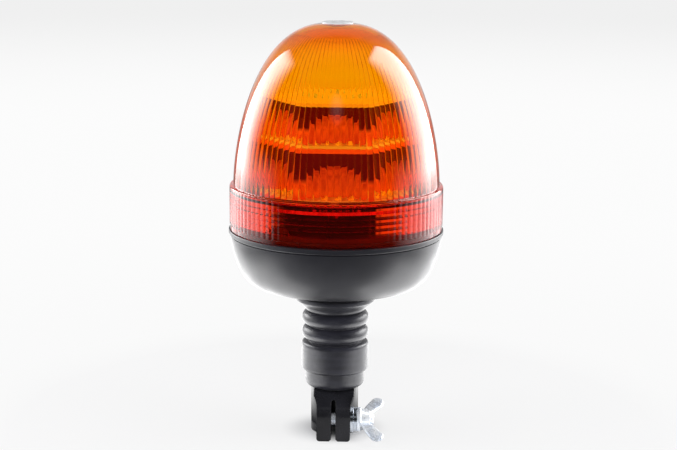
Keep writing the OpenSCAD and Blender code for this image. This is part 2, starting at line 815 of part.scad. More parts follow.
module base_bowl() {
    driver_screw_depth = driver_screw_grip + screw_spare;
    deck_screw_depth = deck_screw_grip + screw_spare;
    color("#1d1d20")
        difference() {
            union() {
                rotate_extrude() base_outline();
                intersection() {
                    union() {
                        on_circle(driver_post_circle_r, driver_post_angles)
                            translate([0, 0, bowl_z]) cylinder(r = driver_post_r, h = driver_z - bowl_z);
                        on_circle(deck_post_circle_r, deck_post_angles)
                            translate([0, 0, bowl_z]) cylinder(r = deck_post_r, h = deck_z - bowl_z);
                    }
                    bowl_fill();
                }
            }
            on_circle(driver_post_circle_r, driver_post_angles)
                translate([0, 0, driver_z - driver_screw_depth])
                    cylinder(r = screw_r + running_gap, h = driver_screw_depth + over, $fn = 32);
            on_circle(deck_post_circle_r, deck_post_angles)
                translate([0, 0, deck_z - deck_screw_depth])
                    cylinder(r = screw_r + running_gap, h = deck_screw_depth + over, $fn = 32);
            for (i = [0 : lug_count - 1])
                rotate([0, 0, 360 / lug_count * i]) bayonet_slot();
        }
}

module lens_seal() {
    color("#2b2b2b")
        rotate_extrude()
            translate([seal_r, seal_z]) circle(r = seal_wire_r, $fn = 32);
}

// Half section of the lens: skirt, ledge, dome and the recess for the crown disc
module lens_outline() {
    inner_r = dome_r - lens_wall;
    dome_top = ledge_z + dome_h;
    outer = dome_outline(dome_r, ledge_z, dome_top, crown_r);
    flat_z = outer[dome_steps][1];
    recess_r = crown_disc_d / 2 + slip_gap;
    edge = [for (a = [0 : 15 : 90])
        [skirt_r - ledge_round * (1 - cos(a)), ledge_z - ledge_round * (1 - sin(a))]];
    inner = dome_outline(inner_r, ledge_z - lens_wall, dome_top - lens_wall, 1);
    polygon(concat(
        [[skirt_inner_r, lens_z], [skirt_r, lens_z]], edge, outer,
        [[recess_r, flat_z], [recess_r, flat_z - crown_recess], [0, flat_z - crown_recess],
            [0, inner[dome_steps][1]]],
        reversed(inner),
        [[skirt_inner_r, ledge_z - lens_wall]]));
}

module lens() {
    lug_root = 0.4;
    color("#ff7a00")
        union() {
            rotate_extrude($fn = 128) lens_outline();
            for (i = [0 : lug_count - 1])
                rotate([0, 0, 360 / lug_count * i - lug_angle / 2])
                    rotate_extrude(angle = lug_angle)
                        translate([lug_tip_r, lug_z]) square([skirt_inner_r - lug_tip_r + lug_root, lug_t]);
        }
}

module crown_disc() {
    edge = 0.5;
    disc_r = crown_disc_d / 2;
    flat_share = dome_share(crown_r, dome_r);
    seat_z = ledge_z + flat_share * dome_h - crown_recess;
    color("#b4b7ba")
        translate([0, 0, seat_z])
            rotate_extrude()
                polygon([[0, 0], [disc_r, 0], [disc_r, crown_disc_t - edge],
                    [disc_r - edge, crown_disc_t], [0, crown_disc_t]]);
}

module driver_board() {
    color("#1f5a34")
        translate([0, 0, driver_z])
            difference() {
                cylinder(d = driver_board_d, h = driver_board_t);
                on_circle(driver_post_circle_r, driver_post_angles)
                    translate([0, 0, -over])
                        cylinder(r = screw_hole_r, h = driver_board_t + 2 * over, $fn = 32);
            }
}

module driver_screws() {
    color("#c4c9cf")
        on_circle(driver_post_circle_r, driver_post_angles)
            translate([0, 0, driver_top]) screw(driver_board_t + driver_screw_grip);
}

module driver_capacitors() {
    r = capacitor_d / 2;
    groove = 0.4;
    groove_z = 1.8;
    edge = 0.6;
    color("#27356b")
        on_circle(part_circle_r, [60, 100])
            translate([0, 0, driver_top])
                rotate_extrude($fn = 48)
                    polygon([[0, 0], [r, 0], [r, groove_z - groove], [r - groove, groove_z],
                        [r, groove_z + groove], [r, capacitor_h - edge], [r - edge, capacitor_h],
                        [0, capacitor_h]]);
}

module driver_inductor() {
    drum_r = 7.5;
    drum_h = 6.5;
    flange_h = 1.4;
    winding_depth = 1.6;
    color("#3a3532")
        on_circle(part_circle_r, [200])
            translate([0, 0, driver_top]) {
                cylinder(r = drum_r, h = flange_h);
                cylinder(r = drum_r - winding_depth, h = drum_h);
                translate([0, 0, drum_h - flange_h]) cylinder(r = drum_r, h = flange_h);
            }
}

// Two power transistors and the flash controller
module driver_chips() {
    transistor = [6.6, 6.1, 2.3];
    controller = [5, 4, 1.6];
    color("#1a1a1a")
        translate([0, 0, driver_top]) {
            for (x = transistor_xs)
                translate([x, transistor_y, 0]) cube(transistor);
            translate(controller_at) cube(controller);
        }
}

module lead_connector() {
    color("#e9e6da")
        translate([-connector_l / 2, -connector_w / 2, lead_end_z])
            cube([connector_l, connector_w, connector_h]);
}

module deck_plate() {
    color("#202023")
        translate([0, 0, deck_z])
            difference() {
                cylinder(r = deck_r, h = deck_t);
                translate([0, 0, -over]) cylinder(r = wire_way_r, h = deck_t + 2 * over);
                on_circle(deck_post_circle_r, deck_post_angles)
                    translate([0, 0, -over]) cylinder(r = screw_hole_r, h = deck_t + 2 * over, $fn = 32);
                tie_holes(deck_t);
            }
}

module deck_screws() {
    color("#c4c9cf")
        on_circle(deck_post_circle_r, deck_post_angles)
            translate([0, 0, deck_top]) screw(deck_t + deck_screw_grip);
}

module tie_holes(h) {
    on_circle(tie_circle_r, tie_angles)
        translate([0, 0, -over]) cylinder(r = screw_hole_r, h = h + 2 * over, $fn = 32);
}

// Hexagonal plate of the tower with its wire way and tie holes
module tower_plate(r, h, way_r) {
    difference() {
        cylinder(r = r, h = h, $fn = 6);
        translate([0, 0, -over]) cylinder(r = way_r, h = h + 2 * over);
        tie_holes(h);
    }
}

// Half-ellipsoid cavity that opens along +X and stands on a short plinth
module cavity(arch_r, depth) {
    wall = [for (a = [6 : 7 : 83]) [arch_r * sin(a), -depth * cos(a)]];
    half = concat([[0, wall[0][1]]], wall, [[arch_r, over], [0, over]]);
    translate([0, 0, cavity_plinth])
        rotate([0, 90, 0])
            rotate([0, 0, 90])
                rotate_extrude(angle = 180, $fn = 64) polygon(half);
    translate([0, 0, -over])
        linear_extrude(height = cavity_plinth + over)
            polygon(concat([for (p = half) [p[1], p[0]]], [for (p = reversed(half)) [p[1], -p[0]]]));
}

module reflector(r, h, arch_r, depth) {
    difference() {
        tower_plate(r, h, wire_way_r);
        on_circle(r * cos(30), side_angles) cavity(arch_r, depth);
    }
}

// Rows of LED packages along the sides of a hexagon
module led_rows(r) {
    on_circle(r * cos(30) - led_inset, side_angles)
        for (k = [0 : leds_per_side - 1])
            translate([0, (k - (leds_per_side - 1) / 2) * led_pitch, 0]) {
                translate([-led_size / 2, -led_size / 2, 0]) cube([led_size, led_size, led_h]);
                translate([0, 0, led_h - eps])
                    cylinder(r1 = led_dome_r, r2 = led_tip_r, h = led_dome_r, $fn = 24);
            }
}

module heat_plate() {
    color("#c9ccd0") translate([0, 0, deck_top]) tower_plate(heat_plate_r, heat_plate_t, wire_way_r);
}

module lower_led_board() {
    color("#e8e8e2") translate([0, 0, lower_board_z]) tower_plate(lower_board_r, led_board_t, board_way_r);
}

module lower_leds() {
    color("#f2d36b") translate([0, 0, lower_reflector_z]) led_rows(lower_reflector_r);
}

module lower_reflector() {
    color("#d9dbde")
        translate([0, 0, lower_reflector_z])
            reflector(lower_reflector_r, lower_reflector_h, lower_arch_r, lower_arch_depth);
}

module mid_plate() {
    color("#c9ccd0") translate([0, 0, mid_plate_z]) tower_plate(mid_plate_r, mid_plate_t, wire_way_r);
}

module upper_led_board() {
    color("#e8e8e2")
        translate([0, 0, upper_board_z])
            difference() {
                cylinder(r = upper_board_r, h = led_board_t, $fn = 6);
                tie_holes(led_board_t);
            }
}

module upper_leds() {
    color("#f2d36b") translate([0, 0, upper_reflector_z]) led_rows(upper_reflector_r);
}

module upper_reflector() {
    color("#d9dbde")
        translate([0, 0, upper_reflector_z])
            reflector(upper_reflector_r, upper_reflector_h, upper_arch_r, upper_arch_depth);
}

module top_cover() {
    color("#dfe1e3")
        translate([0, 0, top_cover_z])
            difference() {
                cylinder(r = top_cover_r, h = top_cover_t, $fn = 6);
                tie_holes(top_cover_t);
            }
}

module tower_screws() {
    thread_end = 1;
    color("#c4c9cf")
        on_circle(tie_circle_r, tie_angles)
            translate([0, 0, tower_top]) screw(tower_top - deck_z + nut_h + thread_end);
}

module tower_nuts() {
    color("#c4c9cf")
        on_circle(tie_circle_r, tie_angles)
            translate([0, 0, deck_z - nut_h])
                difference() {
                    hex_prism(nut_af, nut_h);
                    translate([0, 0, -over])
                        cylinder(r = screw_r + running_gap, h = nut_h + 2 * over, $fn = 32);
                }
}

// Two leads to each LED board, from the driver board straight up through the wire ways
module tower_leads() {
    color("#b3221f")
        translate([0, 0, driver_top]) {
            on_circle(inner_lead_r, [0, 180])
                cylinder(r = tower_lead_r, h = upper_board_z - driver_top, $fn = 24);
            on_circle(outer_lead_r, [60, 240])
                cylinder(r = tower_lead_r, h = lower_board_z - driver_top, $fn = 24);
        }
}

clamp_socket();
clamp_bolt();
flat_washer();
spring_washer();
wing_nut();
earth_ring();
contact_carrier();
contact_plunger();
contact_spring();
terminal_plate();
positive_lead();
earth_lead();
flex_neck();
neck_stud();
stud_washer();
stud_nut();
base_bowl();
lens_seal();
lens();
crown_disc();
driver_board();
driver_screws();
driver_capacitors();
driver_inductor();
driver_chips();
lead_connector();
deck_plate();
deck_screws();
heat_plate();
lower_led_board();
lower_leds();
lower_reflector();
mid_plate();
upper_led_board();
upper_leds();
upper_reflector();
top_cover();
tower_screws();
tower_nuts();
tower_leads();
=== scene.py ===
"""Looks of an amber LED warning beacon on a flexible pole clamp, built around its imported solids.

Everything is in metres, in the frame of the solids: +Z runs up the pole, the clamp's ears point along -Y
and the wing nut lies on the +X side. Design sizes are written in millimetres, times MM.
"""
import json
import math

import bmesh
import bpy
from mathutils import Matrix, Vector


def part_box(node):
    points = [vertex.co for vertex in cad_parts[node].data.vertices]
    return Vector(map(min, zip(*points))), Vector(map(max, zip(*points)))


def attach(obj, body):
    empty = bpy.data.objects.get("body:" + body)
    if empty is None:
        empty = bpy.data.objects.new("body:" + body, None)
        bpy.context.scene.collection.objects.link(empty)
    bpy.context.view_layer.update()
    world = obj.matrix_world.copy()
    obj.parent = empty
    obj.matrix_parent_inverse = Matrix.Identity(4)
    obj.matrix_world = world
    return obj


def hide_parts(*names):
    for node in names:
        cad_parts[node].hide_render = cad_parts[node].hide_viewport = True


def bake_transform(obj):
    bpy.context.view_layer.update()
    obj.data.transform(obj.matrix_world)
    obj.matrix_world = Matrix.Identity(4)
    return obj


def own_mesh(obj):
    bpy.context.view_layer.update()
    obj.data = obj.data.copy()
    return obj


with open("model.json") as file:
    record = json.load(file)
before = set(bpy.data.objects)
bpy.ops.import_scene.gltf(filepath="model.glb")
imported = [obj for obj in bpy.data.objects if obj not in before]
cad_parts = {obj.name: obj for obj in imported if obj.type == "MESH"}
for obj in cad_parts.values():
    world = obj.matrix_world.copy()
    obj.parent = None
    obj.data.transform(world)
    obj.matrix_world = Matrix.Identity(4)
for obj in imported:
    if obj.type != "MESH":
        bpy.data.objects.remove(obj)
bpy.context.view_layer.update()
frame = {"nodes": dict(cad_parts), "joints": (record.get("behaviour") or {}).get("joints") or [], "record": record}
nodes = frame["nodes"]

MM = 0.001
TAU = 2 * math.pi
# A direction that no tube's route runs along
TUBE_SIDE = Vector((0, 1, 0.001))

# Places taken from the solids
lens_low, lens_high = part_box("lens")
base_low, base_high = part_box("base_bowl")
neck_low, neck_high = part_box("flex_neck")
bolt_low, bolt_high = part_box("clamp_bolt")
spring_low, spring_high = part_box("contact_spring")
socket_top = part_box("clamp_socket")[1].z
terminal_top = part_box("terminal_plate")[1].z
earth_lug_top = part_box("earth_ring")[1].z
lead_end_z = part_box("lead_connector")[0].z
joints = {joint["name"]: joint for joint in frame["joints"]}
bolt_axis = Vector(joints["wing_nut_turn"]["pos_m"])


# Mesh helpers

def lerp(a, b, t):
    return a + (b - a) * t


def off_middle(angle, turn):
    """An angle measured from the nearest multiple of a turn."""
    return (angle + turn / 2) % turn - turn / 2


def arc(cr, cz, radius, start, end, steps):
    """Points (r, z) along an arc in the half section, angles in degrees from +r."""
    angles = [math.radians(lerp(start, end, i / steps)) for i in range(steps + 1)]
    return [(cr + radius * math.cos(a), cz + radius * math.sin(a)) for a in angles]


def line(a, b, steps):
    """Points from a to b, both included."""
    return [(lerp(a[0], b[0], i / steps), lerp(a[1], b[1], i / steps)) for i in range(steps + 1)]


def lathe(profile, segments, closed=False, shape=None):
    """Vertices and faces of a profile of (r, z) pairs turned about Z. A pair with r = 0 is a pole.
    shape(row, r, z, angle) may change the radius of single points."""
    verts = []
    rows = []
    for i, (r, z) in enumerate(profile):
        if r == 0:
            rows.append([len(verts)])
            verts.append((0.0, 0.0, z))
            continue
        rows.append(range(len(verts), len(verts) + segments))
        for k in range(segments):
            a = TAU * k / segments
            radius = shape(i, r, z, a) if shape else r
            verts.append((radius * math.cos(a), radius * math.sin(a), z))
    return verts, skin(rows, segments, closed)


def skin(rows, segments, closed=False):
    """Faces between rows of vertex numbers. A row of one vertex closes as a fan, two poles have none."""
    faces = []
    pairs = list(zip(rows, rows[1:]))
    if closed:
        pairs.append((rows[-1], rows[0]))
    for low, high in pairs:
        if len(low) == len(high) == 1:
            continue
        for k in range(segments):
            n = (k + 1) % segments
            corners = (low[k % len(low)], low[n % len(low)], high[n % len(high)], high[k % len(high)])
            faces.append(list(dict.fromkeys(corners)))
    return faces


def join(*parts):
    """One list of vertices and one of faces from several."""
    verts = []
    faces = []
    for part_verts, part_faces in parts:
        start = len(verts)
        verts += [tuple(v) for v in part_verts]
        faces += [[start + i for i in painted_top_light] for painted_top_light in part_faces]
    return verts, faces


def placed(part, matrix):
    """A part's vertices moved by a matrix."""
    verts, faces = part
    return [matrix @ Vector(v) for v in verts], faces


def add_object(name, data):
    thing = bpy.data.objects.new(name, data)
    bpy.context.scene.collection.objects.link(thing)
    return thing


def make_piece(name, part, material, sharp_deg=35):
    """A smooth-shaded mesh object with its sharp edges kept."""
    verts, faces = part
    mesh = bpy.data.meshes.new(name)
    mesh.from_pydata([tuple(v) for v in verts], [], faces)
    bm = bmesh.new()
    bm.from_mesh(mesh)
    bmesh.ops.recalc_face_normals(bm, faces=bm.faces)
    bm.to_mesh(mesh)
    bm.free()
    mesh.shade_smooth()
    mesh.set_sharp_from_angle(angle=math.radians(sharp_deg))
    mesh.materials.append(material)
    return add_object(name, mesh)


def loft(rings):
    """A closed skin over rings of points, with a fan at each end."""
    count = len(rings[0])
    verts = [p for ring in rings for p in ring]
    rows = [range(i * count, (i + 1) * count) for i in range(len(rings))]
    caps = [sum(ring, Vector()) / count for ring in (rings[0], rings[-1])]
    return verts + caps, skin([[len(verts)]] + rows + [[len(verts) + 1]], count)


def tube(points, radius, sides=12):
    """A closed tube along points."""
    points = [Vector(p) for p in points]
    last = len(points) - 1
    turns = [TAU * k / sides for k in range(sides)]
    rings = []
    for i, p in enumerate(points):
        along = (points[min(i + 1, last)] - points[max(i - 1, 0)]).normalized()
        side = TUBE_SIDE.cross(along).normalized()
        up = along.cross(side)
        rings.append([p + radius * (math.cos(a) * side + math.sin(a) * up) for a in turns])
    return loft(rings)


def smooth_route(points, steps):
    """A Catmull-Rom curve through points."""
    points = [Vector(p) for p in points]
    padded = [points[0]] + points + [points[-1]]
    route = []
    for a, b, c, d in zip(padded, padded[1:], padded[2:], padded[3:]):
        for i in range(steps):
            t = i / steps
            route.append(0.5 * (2 * b + (c - a) * t + (2 * a - 5 * b + 4 * c - d) * t * t
                                + (3 * b - a - 3 * c + d) * t ** 3))
    return route + [points[-1]]


# Material helpers

# Most of a noise's values lie between these; a mottle's colours meet between the closer pair
NOISE_LOW = 0.3
NOISE_HIGH = 0.7
MOTTLE_LOW = 0.35
MOTTLE_HIGH = 0.65
# Depths under a reflector's sides and the cover's face, and shares of a reflector's height, of fades
FLAT_FADE = (0.3 * MM, 0.1 * MM)
FACE_FADE = (0.4 * MM, 0.1 * MM)
ARCH_FADE = (0.34, 0.46)
# Zinc and steel scatter part of the light
PLATED_METALLIC = 0.62


def new_material(name, color, roughness, metallic=0.0, **sockets):
    """A plain material. Further sockets of its shader are given by name, with _ for a space."""
    material = bpy.data.materials.new(name)
    material.use_nodes = True
    shader = shader_of(material)
    shader.inputs["Base Color"].default_value = (*color, 1)
    shader.inputs["Roughness"].default_value = roughness
    shader.inputs["Metallic"].default_value = metallic
    for key, value in sockets.items():
        shader.inputs[key.replace("_", " ")].default_value = value
    return material


def add_node(material, kind, **settings):
    node = material.node_tree.nodes.new(kind)
    for key, value in settings.items():
        setattr(node, key, value)
    return node


def wire(material, source, target):
    material.node_tree.links.new(source, target)


def shader_of(material):
    return material.node_tree.nodes["Principled BSDF"]


def feed(material, socket, source):
    """Wires a source to a socket of the material's shader."""
    wire(material, source, shader_of(material).inputs[socket])


def noise(material, scale, detail=3.0, stretch=(1, 1, 1)):
    """The factor of a noise in the part's own coordinates; scale is in cycles per metre."""
    coords = add_node(material, "ShaderNodeTexCoord")
    mapping = add_node(material, "ShaderNodeMapping")
    texture = add_node(material, "ShaderNodeTexNoise")
    mapping.inputs["Scale"].default_value = stretch
    texture.inputs["Scale"].default_value = scale
    texture.inputs["Detail"].default_value = detail
    wire(material, coords.outputs["Object"], mapping.inputs["Vector"])
    wire(material, mapping.outputs["Vector"], texture.inputs["Vector"])
    return texture.outputs["Fac"]


def step(tree, source, start, end, low, high, kind="SMOOTHSTEP"):
    """A value mapped from start..end to low..high, and held beyond the ends."""
    node = tree.nodes.new("ShaderNodeMapRange")
    node.interpolation_type = kind
    for socket, value in (("From Min", start), ("From Max", end), ("To Min", low), ("To Max", high)):
        node.inputs[socket].default_value = value
    tree.links.new(source, node.inputs["Value"])
    return node.outputs["Result"]


def combine(tree, operation, *values):
    """Values worked into one; each is a source or a plain number."""
    node = tree.nodes.new("ShaderNodeMath")
    node.operation = operation
    for socket, value in zip(node.inputs, values):
        if isinstance(value, float):
            socket.default_value = value
        else:
            tree.links.new(value, socket)
    return node.outputs["Value"]


def spread(material, factor, low, high, start=NOISE_LOW, end=NOISE_HIGH):
    """Maps a factor from start..end to low..high."""
    return step(material.node_tree, factor, start, end, low, high, "LINEAR")


def color_ramp(material, factor, stops):
    """A colour along a factor; stops are pairs of position and colour, in rising order."""
    ramp = add_node(material, "ShaderNodeValToRGB")
    elements = ramp.color_ramp.elements
    elements.remove(elements[1])
    elements[0].position = stops[0][0]
    elements[0].color = (*stops[0][1], 1)
    for position, color in stops[1:]:
        elements.new(position).color = (*color, 1)
    wire(material, factor, ramp.inputs["Fac"])
    return ramp.outputs["Color"]


def mix_color(material, factor, first, second):
    """A linked colour that gives way to a fixed one as the factor rises."""
    mix = add_node(material, "ShaderNodeMix", data_type="RGBA")
    wire(material, factor, mix.inputs["Factor"])
    wire(material, first, mix.inputs["A"])
    mix.inputs["B"].default_value = (*second, 1)
    return mix.outputs["Result"]


def object_height(material):
    """The height in the part's own coordinates."""
    coords = add_node(material, "ShaderNodeTexCoord")
    axes = add_node(material, "ShaderNodeSeparateXYZ")
    wire(material, coords.outputs["Object"], axes.inputs["Vector"])
    return axes.outputs["Z"]


def vary_roughness(material, scale, low, high, stretch=(1, 1, 1)):
    factor = noise(material, scale, stretch=stretch)
    feed(material, "Roughness", spread(material, factor, low, high))


def vary_color(material, scale, dark, light, stretch=(1, 1, 1)):
    factor = noise(material, scale, stretch=stretch)
    mottle = color_ramp(material, factor, ((MOTTLE_LOW, dark), (MOTTLE_HIGH, light)))
    feed(material, "Base Color", mottle)


def add_relief(material, factor, depth, strength, edge_radius=0.0):
    """Bump from a factor, depth in metres, over edges that are rounded by edge_radius."""
    bump = add_node(material, "ShaderNodeBump")
    bump.inputs["Strength"].default_value = strength
    bump.inputs["Distance"].default_value = depth
    wire(material, factor, bump.inputs["Height"])
    if edge_radius:
        bevel = add_node(material, "ShaderNodeBevel", samples=6)
        bevel.inputs["Radius"].default_value = edge_radius
        wire(material, bevel.outputs["Normal"], bump.inputs["Normal"])
    feed(material, "Normal", bump.outputs["Normal"])


def amber_lens_material():
    """Clear amber acrylic: deep red in the skirt, palest in the upper dome."""
    material = new_material("amber_acrylic", (1.0, 0.72, 0.10), 0.0, Transmission_Weight=1.0, IOR=1.5)
    vary_roughness(material, 60, 0.0, 0.03)
    share = spread(material, object_height(material), 0, 1, lens_low.z, lens_high.z)
    greens = ((0.19, 0.05), (0.26, 0.42), (0.50, 0.44), (0.70, 0.70), (0.88, 0.64), (0.95, 0.42))
    tint = color_ramp(material, share, [(position, (1.0, green, 0.10)) for position, green in greens])
    feed(material, "Base Color", tint)
    absorption = add_node(material, "ShaderNodeVolumeAbsorption")
    absorption.inputs["Color"].default_value = (0.998, 0.92, 0.02, 1)
    absorption.inputs["Density"].default_value = 700
    wire(material, absorption.outputs["Volume"], material.node_tree.nodes["Material Output"].inputs["Volume"])
    return material


def base_plastic_material():
    """Black housing plastic with a fine spark-eroded grain."""
    material = new_material("black_housing_plastic", (0.012, 0.012, 0.0135), 0.4)
    vary_roughness(material, 90, 0.30, 0.38)
    vary_color(material, 40, (0.011, 0.011, 0.014), (0.017, 0.017, 0.021))
    add_relief(material, noise(material, 3200, 2), 0.04 * MM, 0.35)
    return material


def clamp_plastic_material():
    """Glossier black glass-filled plastic with softened edges."""
    material = new_material("black_clamp_plastic", (0.008, 0.008, 0.010), 0.3, Specular_IOR_Level=0.3)
    vary_roughness(material, 120, 0.20, 0.30)
    vary_color(material, 70, (0.006, 0.006, 0.0075), (0.010, 0.010, 0.0125))
    add_relief(material, noise(material, 1400, 3), 0.05 * MM, 0.3, 0.7 * MM)
    return material


def rubber_material(name, roughness):
    """Black rubber with faint moulding lines around it and a dusty bloom."""
    material = new_material(name, (0.010, 0.010, 0.012), roughness, Sheen_Weight=0.05, Sheen_Roughness=0.4)
    vary_roughness(material, 300, roughness - 0.06, roughness + 0.08, (1, 1, 4))
    vary_color(material, 60, (0.008, 0.008, 0.0115), (0.016, 0.016, 0.0225), (1, 1, 5))
    add_relief(material, noise(material, 500, 4, (0.3, 0.3, 6)), 0.06 * MM, 0.3)
    return material


def metal_material(name, dark, light, roughness, grain=400, relief=0.01, edge_radius=0.0):
    """Bare or plated metal with a patchy tint and a faint grain."""
    material = new_material(name, light, roughness, metallic=1.0)
    vary_color(material, 160, dark, light)
    vary_roughness(material, grain, roughness * 0.7, roughness * 1.4)
    add_relief(material, noise(material, grain, 3), relief * MM, 0.4, edge_radius)
    return material


def plastic_material(name, dark, light, roughness, scale=200, relief=0.02, edge_radius=0.0):
    """Moulded plastic, resin or lacquer with a slight mottle."""
    material = new_material(name, light, roughness)
    vary_color(material, scale, dark, light)
    vary_roughness(material, scale * 3, roughness * 0.8, roughness * 1.2)
    add_relief(material, noise(material, scale * 8, 3), relief * MM, 0.3, edge_radius)
    return material


def hexagon_reach(material):
    """How far out a point lies, square to the nearest side of an upright hexagon."""
    tree = material.node_tree
    coords = add_node(material, "ShaderNodeTexCoord")
    reaches = []
    for degrees in (30, 90, 150):
        turn = math.radians(degrees)
        across = add_node(material, "ShaderNodeVectorMath", operation="DOT_PRODUCT")
        across.inputs[1].default_value = (math.cos(turn), math.sin(turn), 0)
        wire(material, coords.outputs["Object"], across.inputs[0])
        reaches.append(combine(tree, "ABSOLUTE", across.outputs["Value"]))
    return combine(tree, "MAXIMUM", reaches[0], combine(tree, "MAXIMUM", reaches[1], reaches[2]))


def reflector_material(node):
    """A bright hexagonal block with cavities; the flat spandrels between their arches are dark. Its reds are
    painted amber light from the lens, and the cavities' bright streaks are painted reflections.
    """
    material = new_material(f"{node}_metallised", (0.9, 0.9, 0.9), 0.3, Specular_IOR_Level=0.08)
    low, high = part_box(node)
    side = high.y
    flat = spread(material, hexagon_reach(material), 0, 1, side - FLAT_FADE[0], side - FLAT_FADE[1])
    arch_foot = [lerp(low.z, high.z, share) for share in ARCH_FADE]
    above = spread(material, object_height(material), 0, 1, *arch_foot)
    dark = combine(material.node_tree, "MULTIPLY", flat, above)
    # Painted amber light and painted reflections: red streaks in the cavities stand in for lens-filtered light and
    # glints
    painted_light_streaks = color_ramp(material, noise(material, 420, 2, (1, 1, 0.2)),
                         ((0.36, (0.64, 0.10, 0.08)), (0.64, (0.90, 0.20, 0.15))))
    # The spandrels' dark red is painted amber light as well
    feed(material, "Base Color", mix_color(material, dark, painted_light_streaks, (0.10, 0.003, 0.008)))
    feed(material, "Roughness", spread(material, dark, 0.3, 0.5, 0, 1))
    feed(material, "Metallic", spread(material, dark, 0.25, 0, 0, 1))
    add_relief(material, noise(material, 300, 2, (1, 1, 0.25)), 0.6 * MM, 0.8)
    return material


def cover_material():
    """The tower's aluminium cover, coloured with painted amber light from the lens; the top face is paler than
    around the edge, painted light from above.
    """
    material = plastic_material("cover_painted_amber_light", (0.78, 0.41, 0.25), (0.86, 0.47, 0.28), 0.35,
                                edge_radius=0.3 * MM)
    edge_color = shader_of(material).inputs["Base Color"].links[0].from_socket
    face_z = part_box("top_cover")[1].z
    # Painted light from above: the top face is paler than the edge
    painted_top_light = spread(material, object_height(material), 0, 1, face_z - FACE_FADE[0], face_z - FACE_FADE[1])
    feed(material, "Base Color", mix_color(material, painted_top_light, edge_color, (0.96, 0.60, 0.22)))
    return material


def board_material(name, mask_dark, mask_light, copper):
    """Solder mask over a faint raster of copper tracks."""
    material = new_material(name, mask_light, 0.35, Coat_Weight=0.3)
    coords = add_node(material, "ShaderNodeTexCoord")
    bricks = add_node(material, "ShaderNodeTexBrick", offset=0.37)
    bricks.inputs["Color1"].default_value = (*mask_dark, 1)
    bricks.inputs["Color2"].default_value = (*mask_light, 1)
    bricks.inputs["Mortar"].default_value = (*copper, 1)
    bricks.inputs["Scale"].default_value = 160
    bricks.inputs["Mortar Size"].default_value = 0.03
    wire(material, coords.outputs["Object"], bricks.inputs["Vector"])
    feed(material, "Base Color", bricks.outputs["Color"])
    add_relief(material, bricks.outputs["Fac"], 0.03 * MM, 0.5)
    return material


zinc = metal_material("bright_zinc", (0.72, 0.78, 0.88), (0.90, 0.92, 0.95), 0.28, 300, 0.004)
metallised = {node: reflector_material(node) for node in ("lower_reflector", "upper_reflector")}
slots = {
    "amber_lens": amber_lens_material(),
    "base_plastic": base_plastic_material(),
    "clamp_plastic": clamp_plastic_material(),
    "neck_rubber": rubber_material("black_neck_rubber", 0.35),
    "seal_rubber": rubber_material("black_seal_rubber", 0.6),
    "zinc_steel": metal_material("grey_zinc_washer", (0.54, 0.59, 0.67), (0.72, 0.76, 0.82), 0.22, 300, 0.004,
                                 0.25 * MM),
    "plain_steel": metal_material("plain_steel", (0.62, 0.61, 0.59), (0.74, 0.73, 0.71), 0.30,
                                  edge_radius=0.2 * MM),
    "spring_steel": metal_material("spring_wire", (0.50, 0.51, 0.53), (0.66, 0.67, 0.69), 0.25),
    "contact_brass": metal_material("contact_brass", (0.62, 0.40, 0.12), (0.80, 0.56, 0.22), 0.28,
                                    edge_radius=0.15 * MM),
    # The plates' orange is painted amber light from the lens
    "plate_aluminium": plastic_material("plate_painted_amber_light", (0.72, 0.115, 0.08), (0.80, 0.16, 0.10), 0.35,
                                        edge_radius=0.3 * MM),
    "cover_aluminium": cover_material(),
    "crown_grey": plastic_material("satin_grey_lacquer", (0.42, 0.43, 0.44), (0.50, 0.51, 0.52), 0.35, 300),
    "insulator": plastic_material("ivory_insulator", (0.66, 0.61, 0.50), (0.78, 0.74, 0.64), 0.5,
                                  edge_radius=0.2 * MM),
    "red_insulation": plastic_material("red_insulation", (0.36, 0.015, 0.012), (0.50, 0.03, 0.025), 0.42),
    "black_insulation": plastic_material("black_insulation", (0.012, 0.012, 0.012), (0.022, 0.022, 0.022),
                                         0.42),
    "green_board": board_material("green_solder_mask", (0.012, 0.10, 0.035), (0.016, 0.13, 0.05),
                                  (0.05, 0.24, 0.09)),
    "white_board": board_material("white_solder_mask", (0.78, 0.78, 0.75), (0.84, 0.84, 0.81),
                                  (0.68, 0.66, 0.58)),
    "capacitor_sleeve": plastic_material("blue_sleeve", (0.02, 0.03, 0.14), (0.035, 0.05, 0.2), 0.25, 120),
    "ferrite": plastic_material("ferrite", (0.035, 0.033, 0.03), (0.07, 0.06, 0.055), 0.6, 700, 0.05),
    "chip_resin": plastic_material("chip_resin", (0.012, 0.012, 0.012), (0.022, 0.022, 0.024), 0.5, 500, 0.03,
                                   0.15 * MM),
    "deck_plastic": plastic_material("black_deck_plastic", (0.012, 0.012, 0.013), (0.02, 0.02, 0.022), 0.45,
                                     250, edge_radius=0.3 * MM),
    "led_package": plastic_material("led_silicone", (0.85, 0.55, 0.06), (0.98, 0.75, 0.18), 0.2, 400),
}
for plated in (zinc, slots["plain_steel"]):
    shader_of(plated).inputs["Metallic"].default_value = PLATED_METALLIC
for subpart in frame["record"]["subparts"]:
    mesh = nodes[subpart["node"]].data
    mesh.materials.clear()
    mesh.materials.append(metallised.get(subpart["node"]) or slots[subpart["material_slot"]])


# Lens: smooth dome and reeded skirt outside, flutes and level prisms inside

